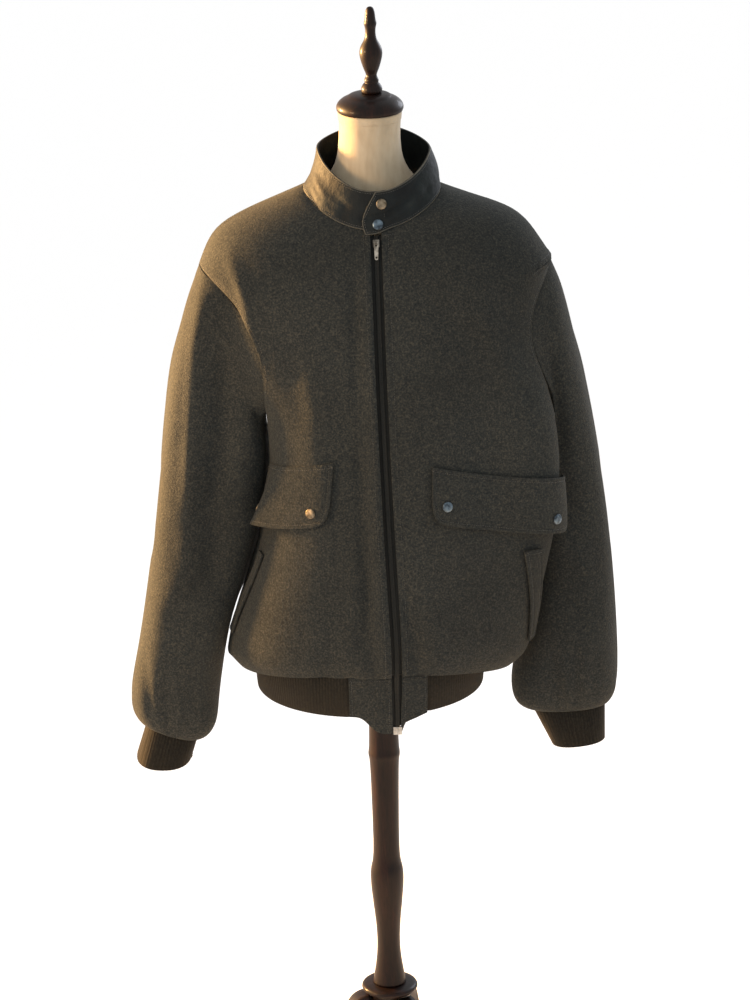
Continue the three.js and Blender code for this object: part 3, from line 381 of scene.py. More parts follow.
# Creases: the side they show on, x (y on plus and minus) and z of both ends, width and depth in mm
FRONT_CREASES = [
    ("front", -184, 1330, -156, 1260, 11, 5),
    ("front", -160, 1270, -136, 1120, 12, 6),
    ("front", -138, 1140, -134, 1030, 13, 4),
    ("front", -112, 1240, -92, 1090, 22, -4),
    ("front", -1, 900, -16, 770, 14, -3),
    ("front", -12, 840, -38, 715, 15, -4),
    ("front", 2, 860, -12, 700, 12, 3),
    ("front", -62, 1150, -88, 960, 26, 3),
    ("front", -118, 1130, -70, 1230, 20, -3),
    ("front", -60, 830, -92, 740, 18, 3),
    ("front", 40, 880, 60, 740, 14, -3),
    ("front", 62, 930, 84, 760, 16, 3),
    ("front", 130, 900, 100, 760, 18, -3),
    ("front", 175, 860, 150, 760, 16, 3),
    ("front", 70, 1290, 150, 1190, 26, -3),
    ("front", 150, 1250, 205, 1130, 22, 3),
    ("front", -60, 1330, -120, 1270, 18, -2),
    ("front", 96, 1386, 150, 1372, 30, 4),
]
# The zip edge on the wearer's right is turned under and stands up plump, with a hollow beside it
ZIP_EDGE_CREASES = [
    ("front", 2, 1330, 5, 1150, 8, 4),
    ("front", 5, 1200, 9, 970, 9, 5),
    ("front", 8, 1010, 16, 740, 10, 6),
    ("front", -15, 1290, -12, 1110, 10, -4),
    ("front", -13, 1080, -8, 900, 11, -5),
    ("front", -9, 930, -2, 730, 12, -7),
]
BACK_CREASES = [
    ("back", -60, 1240, -110, 1040, 26, -4),
    ("back", -20, 1180, -60, 930, 30, 4),
    ("back", 90, 1230, 140, 1030, 26, -4),
    ("back", 60, 1120, 90, 900, 26, 4),
    ("back", 10, 1000, 20, 800, 28, -4),
    ("back", 120, 930, 100, 780, 16, 4),
    ("back", -110, 900, -90, 770, 16, 4),
    ("back", -60, 860, -50, 750, 12, -4),
    ("back", 70, 850, 62, 750, 12, -4),
    ("plus", 40, 930, 20, 780, 16, -3),
    ("minus", 30, 920, 10, 780, 16, -3),
]
SLEEVE_CREASES = {
    "sleeve_left": [
        ("front", 256, 1240, 292, 1010, 16, 4),
        ("front", 232, 1200, 258, 1000, 18, -5),
        ("front", 240, 1000, 300, 930, 15, -4),
        ("front", 240, 920, 312, 850, 15, 4),
        ("front", 236, 850, 300, 790, 14, -4),
        ("front", 250, 735, 262, 655, 8, -4),
        ("front", 285, 740, 290, 650, 8, -4),
        ("front", 315, 735, 308, 652, 8, -3),
        ("front", 268, 720, 276, 655, 6, 3),
        ("back", 250, 1100, 300, 950, 18, -4),
        ("back", 240, 960, 310, 860, 16, 4),
        ("back", 250, 860, 300, 780, 14, -4),
        ("back", 260, 735, 268, 655, 8, -4),
        ("back", 300, 735, 296, 655, 8, -4),
        ("plus", 20, 1180, 40, 960, 18, 4),
        ("plus", 60, 1000, 20, 880, 16, -4),
        ("plus", -10, 735, -4, 655, 8, -3),
        ("plus", 30, 735, 24, 655, 8, -3),
    ],
    "sleeve_right": [
        ("front", -214, 1310, -234, 1180, 10, 6),
        ("front", -232, 1200, -246, 1010, 12, 7),
        ("front", -244, 1050, -258, 880, 14, 5),
        ("front", -190, 1280, -188, 1150, 20, -8),
        ("front", -190, 1180, -206, 1000, 22, -10),
        ("front", -204, 1030, -226, 840, 24, -8),
        ("front", -178, 1290, -152, 1110, 22, -13),
        ("front", -205, 990, -262, 935, 15, -3),
        ("front", -220, 900, -285, 840, 15, 3),
        ("front", -235, 850, -300, 790, 14, -4),
        ("front", -296, 715, -294, 626, 10, -4),
        ("front", -276, 705, -282, 622, 10, 2),
        ("front", -325, 745, -318, 650, 8, -4),
        ("front", -250, 740, -262, 650, 9, -3),
        ("back", -205, 1100, -270, 950, 18, -4),
        ("back", -215, 960, -290, 850, 16, 4),
        ("back", -240, 860, -300, 760, 14, -4),
        ("back", -270, 735, -282, 640, 8, -4),
        ("back", -318, 735, -306, 640, 8, -4),
        ("minus", 0, 1200, 20, 980, 14, 4),
        ("minus", 30, 1000, -10, 880, 16, -4),
        ("minus", -20, 735, -14, 650, 8, -3),
        ("minus", 20, 735, 14, 650, 8, -3),
    ],
}
cloths = {
    "front_left": cloth("front_left", FRONT_CREASES, BODY_AXIS, SHOULDER_DOME),
    "front_right": cloth(
        "front_right", FRONT_CREASES + ZIP_EDGE_CREASES, BODY_AXIS, SHOULDER_DOME
    ),
    "back": cloth("back", BACK_CREASES, BODY_AXIS, SHOULDER_DOME),
}
SLEEVE_CUTS = {"sleeve_left": ((0.48, 0.62), 0.244), "sleeve_right": ((0.5, 0.66), 0.289)}
for name, (flat, area) in SLEEVE_CUTS.items():
    cloths[name] = cloth(name, SLEEVE_CREASES[name], SLEEVE_AXIS[name])


# Pocket flaps, hand-pocket welts and the plain ends of the hem: doubled wool, turned and pressed, with a
# row of topstitching that leaves a plump roll along the edge.
ROLL_WIDE, ROLL_DEEP = 5.5, 0.8


def edge_roll(made, chains, axis, wide=ROLL_WIDE, deep=ROLL_DEEP, soft=1.5):
    """Presses the groove that a row of topstitching makes beside the edge."""
    distance = edge_distance(made, chains)
    points = points_of(made)
    away = outward(points, axis)
    normals = np.zeros(len(points) * 3, np.float32)
    made.data.vertex_normals.foreach_get("vector", normals)
    outer = np.clip((normals.reshape(-1, 3) * away).sum(1), 0, 1)
    groove = -deep * np.exp(-(((distance - wide) / soft) ** 2))
    swell = 0.6 * deep * np.exp(-(((distance - wide * 0.45) / (soft * 1.3)) ** 2))
    set_points(made, points + away * ((groove + swell) * outer * MM)[:, None])


def chain_middle(name):
    """The middle line of the zip's chain, as z, x and y of each row of its solid."""
    points = np.array([v.co for v in nodes[name].data.vertices])
    order = points[np.argsort(points[:, 2])]
    rows = np.split(order, np.where(np.diff(order[:, 2]) > 4 * MM)[0] + 1)
    return np.array([[r[:, 2].mean(), r[:, 0].mean(), r[:, 1].min()] for r in rows])


zip_line = chain_middle("zip_chain")
ZIP_EDGE, ZIP_MARGIN = 22, 9


def by_zip(at):
    return abs(at[0] - np.interp(at[2] * MM, zip_line[:, 0], zip_line[:, 1]) / MM) < ZIP_EDGE and at[2] > 706


zip_rims = {}
for name in ("front_left", "front_right"):
    zip_rims[name] = rim_chains(cloths[name], BODY_AXIS, SHOULDER_DOME, by_zip)
    edge_roll(cloths[name], zip_rims[name], BODY_AXIS, ZIP_MARGIN, 1.3, 2.6)

SMALL_CUTS = {
    "flap_left": ((0.195, 0.105), 0.0195),
    "flap_right": ((0.14, 0.095), 0.0125),
    "welt_left": ((0.032, 0.145), 0.0045),
    "welt_right": ((0.032, 0.125), 0.0035),
    "hem_end_left": ((0.042, 0.06), 0.0025),
    "hem_end_right": ((0.065, 0.06), 0.0038),
}
# How far each hem end's top and foot move, in mm, the height where that starts and what it runs over
TOP_TUCK, TOP_FROM, TOP_OVER = (0, 1.2, 5), 739, 5
FOOT_DIP = {"hem_end_left": (2.5, 0, 10), "hem_end_right": (0, 0, 9)}
FOOT_FROM, FOOT_OVER, FOOT_WIDE, FOOT_FLAT = 730, 45, 42, 1.3
small_rims = {}
for name, (flat, area) in SMALL_CUTS.items():
    made = cloth(name, [], BODY_AXIS, levels=3, rounding=0.7)
    small_rims[name] = rim_chains(made, BODY_AXIS)
    if name.startswith("hem"):
        # its top goes on behind the blouse's lower edge, and its foot dips beside the zip
        points = points_of(made)
        points += smoothstep((points[:, 2:] / MM - TOP_FROM) / TOP_OVER) * np.array(TOP_TUCK) * MM
        beside = np.interp(points[:, 2], zip_line[:, 0], zip_line[:, 1])
        dip = smoothstep(FOOT_FLAT - abs(points[:, 0] - beside) / MM / FOOT_WIDE)
        dip = dip * smoothstep((FOOT_FROM - points[:, 2] / MM) / FOOT_OVER)
        points -= dip[:, None] * np.array(FOOT_DIP[name]) * MM
        set_points(made, points)
    else:
        edge_roll(made, small_rims[name], BODY_AXIS)
    cloths[name] = made


# Topstitching: a lockstitch in dark waxed polyester thread, about three millimetres to a stitch, along the
# zip edges, the flaps, the welts, the hem ends and both sides of the shoulder and armhole seams.
def thread_finish(name, dark, pale):
    made, tree, place = material(name)
    fuzz = node(
        tree, "ShaderNodeTexNoise", {"Vector": place, "Scale": BLOBS / 0.4, "Detail": 2, "Roughness": 0.5}
    )
    colour = node(tree, "ShaderNodeValToRGB", {"Fac": fuzz}, stops=[(0.3, dark), (0.7, pale)])
    twist = node(tree, "ShaderNodeBump", {"Height": fuzz, "Distance": 0.1 * MM, "Strength": 1.0})
    surface = node(
        tree,
        "ShaderNodeBsdfPrincipled",
        {"Base Color": colour, "Normal": twist, "Roughness": 0.6, "Sheen Weight": 0.2},
    )
    node(tree, "ShaderNodeOutputMaterial", {"Surface": surface})
    return made


thread = thread_finish("waxed polyester thread, dark brown", "#191815", "#2b2a25")
STITCH_PITCH, STITCH_LONG, THREAD_THICK, STITCH_LIFT = 3.4, 2.7, 0.5, 0.12


def topstitch(name, made, chains, margin, finish_of=thread):
    """Stitches along a piece's rim, a margin in from it, laid on the finished surface."""
    bpy.context.view_layer.update()
    laid_on = BVHTree.FromObject(made, bpy.context.evaluated_depsgraph_get())
    mesh = bmesh.new()
    for chain in chains:
        line = np.array([p + inside * margin * MM for p, inside in chain])
        steps = np.concatenate([[0], np.cumsum(np.linalg.norm(np.diff(line, axis=0), axis=1))])
        count = int(steps[-1] / (STITCH_PITCH * MM))
        for k in range(count):
            at = (k + 0.5) * STITCH_PITCH * MM
            here = Vector([np.interp(at, steps, line[:, i]) for i in range(3)])
            ahead = Vector([np.interp(at + 1 * MM, steps, line[:, i]) for i in range(3)])
            spot, normal, _, _ = laid_on.find_nearest(here)
            along = ahead - here
            along = (along - normal * along.dot(normal)).normalized()
            turn = Matrix((along, normal.cross(along), normal)).transposed().to_4x4()
            size = Matrix.Diagonal((STITCH_LONG / 2 * MM, THREAD_THICK / 2 * MM, THREAD_THICK / 2 * MM, 1))
            place = Matrix.Translation(spot + normal * STITCH_LIFT * MM) @ turn @ size
            bmesh.ops.create_uvsphere(mesh, u_segments=6, v_segments=4, radius=1, matrix=place)
    piece(name, mesh, finish_of)


ARMHOLE_MARGIN, HEM_END_MARGIN = 6, 4


def by_armhole(at):
    return abs(at[0] - 12) > 150 and 1100 < at[2] < 1372


for name in ("front_left", "front_right"):
    topstitch(name + "_zip_stitches", cloths[name], zip_rims[name], ZIP_MARGIN)
for name in ("front_left", "front_right", "back"):
    chains = rim_chains(cloths[name], BODY_AXIS, SHOULDER_DOME, by_armhole)
    topstitch(name + "_armhole_stitches", cloths[name], chains, ARMHOLE_MARGIN)
for name, chains in small_rims.items():
    margin = HEM_END_MARGIN if name.startswith("hem") else ROLL_WIDE
    topstitch(name + "_stitches", cloths[name], chains, margin)


# Hem and cuffs: 2 by 2 rib knit in dark brown-black wool, folded double. The ribs stand about half a
# millimetre proud at a pitch of 4.4 mm, and are drawn in where they are sewn to the wool.
RIB_PITCH, RIB_RISE, KNIT_THICK = 4.4, 0.9, 1.7


# A stitch is 1.2 mm wide, and its loops show as a fine grain along each rib. The attribute rib is 1 on
# a rib's crest and 0 in the valley, where the colour is mixed towards near black as painted shade between
# the ribs.
LOOP, FUZZ = 1.1, 0.5
rib_knit, tree, place = material("rib knit, dark brown-black wool")
along = node(tree, "ShaderNodeMapping", {"Vector": place, "Scale": (1, 1, 0.6)})
loops = node(
    tree, "ShaderNodeTexNoise", {"Vector": along, "Scale": BLOBS / LOOP, "Detail": 2, "Roughness": 0.5}
)
fuzz = node(
    tree, "ShaderNodeTexNoise", {"Vector": place, "Scale": BLOBS / FUZZ, "Detail": 2, "Roughness": 0.5}
)
crest = node(tree, "ShaderNodeAttribute", {}, "Fac", attribute_name="rib")
shown = node(tree, "ShaderNodeMapRange", {"Value": crest, "To Min": 0.25, "To Max": 1.0})
colour = node(tree, "ShaderNodeValToRGB", {"Fac": loops}, stops=[(0.3, "#10100e"), (0.7, "#22211c")])
# the valleys are mixed towards near black #0b0a09: painted shade between the ribs
colour = node(
    tree, "ShaderNodeMix", {SHARE: shown, FIRST: "#0b0a09", SECOND: colour}, MIXED, data_type="RGBA"
)
knit = node(tree, "ShaderNodeBump", {"Height": loops, "Distance": 0.5 * MM, "Strength": 0.6})
knit = node(
    tree, "ShaderNodeBump", {"Height": fuzz, "Distance": 0.2 * MM, "Strength": 0.4, "Normal": knit}
)
surface = node(
    tree,
    "ShaderNodeBsdfPrincipled",
    {
        "Base Color": colour,
        "Normal": knit,
        "Roughness": 0.9,
        "Specular IOR Level": 0.12,
        "Sheen Weight": 0.12,
        "Sheen Tint": "#8a7f70",
    },
)
node(tree, "ShaderNodeOutputMaterial", {"Surface": surface})

RIB_TUBES = {
    "hem_rib": ((12, -20), (0.9, 0.065), 0.056),
    "cuff_left": ((284, 1), (0.27, 0.062), 0.0162),
    "cuff_right": ((-296, -9), (0.21, 0.062), 0.012),
}
RIB_CUTS, RIB_STEPS = 7, 240
# The top of each tube goes up and in behind the wool. Its ribs flatten to a share of their rise at the
# fold below and at the seam above.
TUCK_UP, TUCK_IN, TUCK_SHARE = 6, 1.4, 0.22
FLAT_RIB, FOLD_SHARE, SEAM_SHARE = 0.35, 0.1, 0.14
HEM_ENDS, HEM_END_OVER = (-35, 73), 3
for name, (centre, flat, area) in RIB_TUBES.items():
    mesh = quads_of(name)
    mesh.normal_update()
    centre = Vector((*centre, 0)) * MM
    outer = []
    for face in mesh.faces:
        away = face.calc_center_median() - centre
        away.z = 0
        if face.normal.dot(away.normalized()) > -0.5:
            outer.append(face)
    bmesh.ops.delete(mesh, geom=outer, context="FACES")
    bmesh.ops.reverse_faces(mesh, faces=mesh.faces)
    level = [e for e in mesh.edges if abs((e.verts[1].co - e.verts[0].co).normalized().z) < 0.6]
    bmesh.ops.subdivide_edges(mesh, edges=level, cuts=RIB_CUTS, use_grid_fill=True)
    made = piece(name + "_knit", mesh, rib_knit)
    points = points_of(made)
    turn = np.mod(np.arctan2(points[:, 1] - centre.y, points[:, 0] - centre.x) + math.pi / 2, 2 * math.pi)
    radius = np.hypot(points[:, 0] - centre.x, points[:, 1] - centre.y)
    which = (turn / (2 * math.pi) * RIB_STEPS).astype(int) % RIB_STEPS
    middles = (np.arange(RIB_STEPS) + 0.5) * 2 * math.pi / RIB_STEPS
    filled = np.array([k for k in range(RIB_STEPS) if (which == k).any()])
    columns = [which == k for k in filled]
    reach = np.interp(middles, middles[filled], [radius[c].mean() for c in columns])
    low = np.interp(turn, middles[filled], [points[c, 2].min() for c in columns])
    high = np.interp(turn, middles[filled], [points[c, 2].max() for c in columns])
    length = np.concatenate([[0], np.cumsum(reach * 2 * math.pi / RIB_STEPS)])
    ribs = round(length[-1] / (RIB_PITCH * MM))
    steps = np.linspace(0, 2 * math.pi, RIB_STEPS + 1)
    rib = 0.5 + 0.5 * np.cos(2 * math.pi * ribs * np.interp(turn, steps, length) / length[-1])
    up = (points[:, 2] - low) / (high - low)
    tucked = smoothstep((up - 1 + TUCK_SHARE) / TUCK_SHARE)
    full = smoothstep(up / FOLD_SHARE) * smoothstep((1 - up) / SEAM_SHARE)
    rise = RIB_RISE * rib * (FLAT_RIB + (1 - FLAT_RIB) * full)
    normals = np.zeros(len(points) * 3, np.float32)
    made.data.vertex_normals.foreach_get("vector", normals)
    points += normals.reshape(-1, 3) * ((rise - TUCK_IN * tucked) * MM)[:, None]
    points[:, 2] += TUCK_UP * tucked * MM
    if name == "hem_rib":
        # the knit's two ends go on behind the wool ends
        for end, sign in zip(HEM_ENDS, (1, -1)):
            near = np.clip(1 - abs(points[:, 0] / MM - end) / HEM_END_OVER, 0, 1) * (points[:, 1] < -0.1)
            points += near[:, None] * np.array([sign * TUCK_UP, TUCK_IN, 0]) * MM
    set_points(made, points)
    layer = made.data.attributes.new("rib", "FLOAT", "POINT")
    layer.data.foreach_set("value", rib.astype(np.float32))
    wall = made.modifiers.new("knit thickness", "SOLIDIFY")
    wall.thickness, wall.offset = KNIT_THICK * MM, 1
    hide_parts(name)
    cloths[name] = made


# Stand collar: waxed cowhide about 1.2 mm thick, faced with itself, lapped left over right. Its edges are
# rubbed pale, and soft creases run across the lap where it bends.
# The wax gives a pull-up mottle, scuffs dull it, and the attribute edge_mm tells where the edge is rubbed
PEBBLE, PULL_UP, SCUFF, WRINKLE = 1.8, 18, 2.2, 9
cowhide, tree, place = material("waxed cowhide, dark grey-green")
pebble = node(
    tree,
    "ShaderNodeTexVoronoi",
    {"Vector": place, "Scale": 1 / (PEBBLE * MM)},
    "Distance",
    feature="DISTANCE_TO_EDGE",
)
pull_up = node(
    tree, "ShaderNodeTexNoise", {"Vector": place, "Scale": BLOBS / PULL_UP, "Detail": 3, "Roughness": 0.5}
)
scuffs = node(
    tree, "ShaderNodeTexNoise", {"Vector": place, "Scale": BLOBS / SCUFF, "Detail": 3, "Roughness": 0.7}
)
wrinkles = node(
    tree, "ShaderNodeTexNoise", {"Vector": place, "Scale": BLOBS / WRINKLE, "Detail": 4, "Roughness": 0.6}
)
colour = node(
    tree,
    "ShaderNodeValToRGB",
    {"Fac": pull_up},
    stops=[(0.3, "#0e1112"), (0.55, "#151a1b"), (0.8, "#212727")],
)
edge = node(tree, "ShaderNodeAttribute", {}, "Fac", attribute_name="edge_mm")
near = node(
    tree,
    "ShaderNodeMapRange",
    {"Value": edge, "From Min": 0.1, "From Max": 1.8, "To Min": 1.0, "To Max": 0.0},
)
rubbed = node(tree, "ShaderNodeMath", {0: near, 1: scuffs}, operation="MULTIPLY")
rubbed = node(tree, "ShaderNodeMath", {0: rubbed, 1: 1.5}, operation="MULTIPLY")
colour = node(
    tree, "ShaderNodeMix", {SHARE: rubbed, FIRST: colour, SECOND: "#5a584f"}, MIXED, data_type="RGBA"
)
grain = node(tree, "ShaderNodeBump", {"Height": wrinkles, "Distance": 3.5 * MM, "Strength": 0.55})
grain = node(
    tree, "ShaderNodeBump", {"Height": pebble, "Distance": 0.25 * MM, "Strength": 0.5, "Normal": grain}
)
grain = node(
    tree, "ShaderNodeBump", {"Height": scuffs, "Distance": 0.3 * MM, "Strength": 0.35, "Normal": grain}
)
dulled = node(tree, "ShaderNodeMapRange", {"Value": scuffs, "To Min": 0.55, "To Max": 0.8})
surface = node(
    tree,
    "ShaderNodeBsdfPrincipled",
    {"Base Color": colour, "Roughness": dulled, "Normal": grain, "Specular IOR Level": 0.14},
)
node(tree, "ShaderNodeOutputMaterial", {"Surface": surface})

COLLAR_MARGIN = 3.4
COLLAR_AXIS = [(1330, 14, -20), (1500, 14, -20)]
COLLAR_CREASES = [
    ("front", -2, 1367, 40, 1374, 5, -3.2),
    ("front", 34, 1372, 68, 1394, 5, -3.0),
    ("front", 26, 1362, 58, 1376, 5, 2.0),
    ("front", 74, 1372, 92, 1402, 5, -2.4),
    ("front", 60, 1380, 84, 1400, 4, 1.4),
    ("front", 62, 1396, 78, 1416, 5, -1.6),
    ("front", -60, 1372, -78, 1408, 6, -2.2),
    ("front", -48, 1392, -66, 1420, 6, 1.8),
    ("front", -18, 1380, -40, 1396, 6, -1.2),
    ("front", -30, 1370, -56, 1384, 6, 1.0),
    ("plus", -20, 1400, 10, 1430, 6, -1.6),
    ("minus", -20, 1400, 10, 1430, 6, -1.6),
    ("back", -40, 1420, 0, 1440, 6, -1.4),
    ("back", 10, 1430, 50, 1418, 6, -1.4),
]
mesh = quads_of("collar")
crease_corners(mesh)
collar = piece("collar_leather", mesh, cowhide, 3)
apply_modifiers(collar)
collar_rim = rim_chains(collar, COLLAR_AXIS)
edge_distance(collar, collar_rim)
press(collar, COLLAR_AXIS, COLLAR_CREASES)
round_edges(collar, 0.6)
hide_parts("collar")
collar_thread = thread_finish("waxed polyester thread, grey", "#2c2d29", "#4a4a43")
topstitch("collar_stitches", collar, collar_rim, COLLAR_MARGIN, collar_thread)


# Zip: woven polyester tape with a reverse coil, so that a smooth ribbed band shows. The gunmetal slider
# and its pull hang at the top, and a bright die-cast box closes the foot.
# A wave of BANDS over a spacing in mm repeats at that spacing
BANDS = 0.314 / MM


def tape_finish(name, dark, pale, spacing):
    """Woven polyester with its weft rows a spacing in mm apart."""
    made, tree, place = material(name)
    rows = node(
        tree,
        "ShaderNodeTexWave",
        {"Vector": place, "Scale": BANDS / spacing, "Distortion": 0.4, "Detail": 1.0},
        "Fac",
        bands_direction="Z",
    )
    fuzz = node(
        tree, "ShaderNodeTexNoise", {"Vector": place, "Scale": BLOBS / 0.8, "Detail": 2, "Roughness": 0.5}
    )
    woven = node(tree, "ShaderNodeValToRGB", {"Fac": rows}, stops=[(0.2, dark), (0.8, pale)])
    flecks = node(tree, "ShaderNodeValToRGB", {"Fac": fuzz}, stops=[(0.3, dark), (0.7, pale)])
    colour = node(
        tree, "ShaderNodeMix", {SHARE: 0.5, FIRST: woven, SECOND: flecks}, MIXED, data_type="RGBA"
    )
    weft = node(tree, "ShaderNodeBump", {"Height": rows, "Distance": 0.25 * MM, "Strength": 0.6})
    surface = node(
        tree,
        "ShaderNodeBsdfPrincipled",
        {"Base Color": colour, "Normal": weft, "Roughness": 0.75, "Specular IOR Level": 0.15},
    )
    node(tree, "ShaderNodeOutputMaterial", {"Surface": surface})
    return made


tape = tape_finish("woven polyester zip tape", "#0d0f0f", "#1a1c1b", 1.2)
for name in ("zip_tape_left", "zip_tape_right"):
    nodes[name].data.materials.clear()
    nodes[name].data.materials.append(tape)

COIL_WIDE, COIL_PITCH, COIL_THICK = 6.6, 1.5, 1.1
COIL_LOBE, COIL_TOOTH, COIL_SUNK = 0.55, 0.22, 0.4
low_z, high_z = zip_line[0, 0], zip_line[-1, 0]
rows = int((high_z - low_z) / (COIL_PITCH * MM) * 2)
mesh = bmesh.new()
bmesh.ops.create_grid(mesh, x_segments=8, y_segments=rows, size=0.5)
for vertex in mesh.verts:
    share, across = vertex.co.y + 0.5, vertex.co.x * 2
    z = low_z + (high_z - low_z) * share
    # two lobes side by side, with the teeth of one half way between those of the other
    tooth = COIL_TOOTH if (round(share * rows) + (across > 0)) % 2 and 0 < abs(across) < 1 else 0
    lobe = COIL_LOBE * math.sqrt(max(0, 1 - (abs(across) * 2 - 1) ** 2)) + tooth
    x = np.interp(z, zip_line[:, 0], zip_line[:, 1])
    y = np.interp(z, zip_line[:, 0], zip_line[:, 2])
    vertex.co = (x + across * COIL_WIDE / 2 * MM, y + (COIL_SUNK - lobe) * MM, z)
bmesh.ops.recalc_face_normals(mesh, faces=mesh.faces)
if sum(f.normal.y for f in mesh.faces) > 0:
    bmesh.ops.reverse_faces(mesh, faces=mesh.faces)
coil_weave = tape_finish("reverse coil, woven polyester", "#0e100f", "#232422", COIL_PITCH)
coil = piece("zip_coil", mesh, coil_weave)
wall = coil.modifiers.new("coil depth", "SOLIDIFY")
wall.thickness, wall.offset = COIL_THICK * MM, -1
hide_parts("zip_chain")


def metal_finish(name, bright, dull, roughness, patina=None):
    """Plated metal, stained unevenly, and dark with patina in its finest pits."""
    made, tree, place = material(name)
    stain = node(
        tree, "ShaderNodeTexNoise", {"Vector": place, "Scale": BLOBS / 3, "Detail": 3, "Roughness": 0.5}
    )
    grit = node(
        tree, "ShaderNodeTexNoise", {"Vector": place, "Scale": BLOBS / 0.5, "Detail": 2, "Roughness": 0.5}
    )
    colour = node(tree, "ShaderNodeValToRGB", {"Fac": stain}, stops=[(0.35, dull), (0.65, bright)])
    if patina is not None:
        pits = node(tree, "ShaderNodeValToRGB", {"Fac": grit}, stops=[(0.55, "#000000"), (0.8, "#b0b0b0")])
        colour = node(
            tree, "ShaderNodeMix", {SHARE: pits, FIRST: colour, SECOND: patina}, MIXED, data_type="RGBA"
        )
    dulled = node(
        tree,
        "ShaderNodeMapRange",
        {"Value": grit, "To Min": roughness - 0.08, "To Max": roughness + 0.12},
    )
    pitted = node(tree, "ShaderNodeBump", {"Height": grit, "Distance": 0.05 * MM, "Strength": 0.4})
    surface = node(
        tree,
        "ShaderNodeBsdfPrincipled",
        {"Base Color": colour, "Roughness": dulled, "Normal": pitted, "Metallic": 1.0},
    )
    node(tree, "ShaderNodeOutputMaterial", {"Surface": surface})
    return made


CAST_RADIUS = 0.3
METALS = {
    "zip_slider": metal_finish("zinc slider, gunmetal plated", "#8b857b", "#4c4842", 0.36),
    "zip_pull": metal_finish("zinc pull tab, worn gunmetal", "#b3aca0", "#6d675d", 0.32),
    "zip_box": metal_finish("die-cast zinc box, satin nickel", "#b4b3ae", "#84837f", 0.34),
}
for name, finish_of in METALS.items():
    hard = nodes[name]
    hard.data.materials.clear()
    hard.data.materials.append(finish_of)
    weld = hard.modifiers.new("joined corners", "WELD")
    weld.merge_threshold = 0.01 * MM
    rounding = hard.modifiers.new("rounded edges", "BEVEL")
    rounding.width, rounding.segments = CAST_RADIUS * MM, 3
    rounding.limit_method, rounding.angle_limit = "ANGLE", math.radians(40)


# Snap caps: pressed brass, 15 mm across, with a domed face and a rolled rim, plated dark and rubbed back
# to brown brass. The lower collar cap and the caps on the wearer's left flap take a blue-grey copy of the
# finish, partly their plating and partly painted cool shade on the side away from the warm lamps.
antique = metal_finish("pressed brass cap, antique plated", "#857a68", "#4e4537", 0.42, "#221d17")
cool_shade_copy = metal_finish("pressed brass cap, blue-grey with painted cool shade", "#667580", "#333b42", 0.38, "#191d20")
for name in sorted(n for n in nodes if n.startswith("snap_")):
    mesh = quads_of(name)
    crease_corners(mesh, math.radians(75))
    # these caps get the blue-grey copy: plating and painted cool shade
    cool_shaded = name == "snap_collar_1" or name.startswith("snap_flap_left")
    cap = piece(name + "_cap", mesh, cool_shade_copy if cool_shaded else antique, 2)
    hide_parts(name)


# Dress form: a limbless torso of foam under stretched cream linen, with a stitched band at the neck.
# The yarns are 0.4 mm apart, and are drawn 1.3 mm apart so that they show
YARNS, SLUB = 1.3, 5
linen, tree, place = material("stretched linen canvas, cream")
warp, weft = (
    node(
        tree,
        "ShaderNodeTexWave",
        {
            "Vector": place,
            "Scale": BANDS / YARNS,
            "Distortion": 1.4,
            "Detail": 2.0,
            "Detail Scale": 1.5,
        },
        "Fac",
        bands_direction=direction,
    )
    for direction in ("X", "Z")
)
weave = node(tree, "ShaderNodeMath", {0: warp, 1: weft}, operation="MULTIPLY")
along = node(tree, "ShaderNodeMapping", {"Vector": place, "Scale": (1, 1, 0.4)})
slubs = node(
    tree, "ShaderNodeTexNoise", {"Vector": along, "Scale": BLOBS / SLUB, "Detail": 3, "Roughness": 0.5}
)
colour = node(
    tree,
    "ShaderNodeValToRGB",
    {"Fac": slubs},
    stops=[(0.3, "#a99c85"), (0.5, "#b1a48d"), (0.75, "#b9ad97")],
)
shaded = node(tree, "ShaderNodeValToRGB", {"Fac": weave}, stops=[(0.1, "#c9c2b4"), (0.7, "#ffffff")])
colour = node(
    tree,
    "ShaderNodeMix",
    {SHARE: 0.6, FIRST: colour, SECOND: shaded},
    MIXED,
    data_type="RGBA",
    blend_type="MULTIPLY",
)
canvas = node(tree, "ShaderNodeBump", {"Height": weave, "Distance": 0.25 * MM, "Strength": 0.5})
surface = node(
    tree,
    "ShaderNodeBsdfPrincipled",
    {
        "Base Color": colour,
        "Normal": canvas,
        "Roughness": 0.85,
        "Specular IOR Level": 0.25,
        "Sheen Weight": 0.15,
    },
)
node(tree, "ShaderNodeOutputMaterial", {"Surface": surface})

mesh = quads_of("form_torso")
crease_corners(mesh, math.radians(60))
torso = piece("torso_linen", mesh, linen, 2)
apply_modifiers(torso)
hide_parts("form_torso")

BAND_TALL, BAND_PROUD, BAND_THICK = 11, 0.8, 0.9
mesh = bmesh.new()
mesh.from_mesh(torso.data)
mesh.normal_update()
tops = [f for f in mesh.faces if f.normal.z > 0.9 and f.calc_center_median().z > 1.46]
top_normal = sum((f.normal * f.calc_area() for f in tops), Vector()).normalized()
top_middle = sum((f.calc_center_median() for f in tops), Vector()) / len(tops)
cut = top_middle - top_normal * BAND_TALL * MM
everything = mesh.verts[:] + mesh.edges[:] + mesh.faces[:]
bmesh.ops.bisect_plane(mesh, geom=everything, plane_co=cut, plane_no=top_normal, clear_inner=True)
lids = [f for f in mesh.faces if f.normal.dot(top_normal) > 0.7]
bmesh.ops.delete(mesh, geom=lids, context="FACES")
mesh.normal_update()
for vertex in mesh.verts:
    vertex.co += vertex.normal * BAND_PROUD * MM
band = piece("neck_band", mesh, linen)
wall = band.modifiers.new("band thickness", "SOLIDIFY")
wall.thickness, wall.offset = BAND_THICK * MM, -1


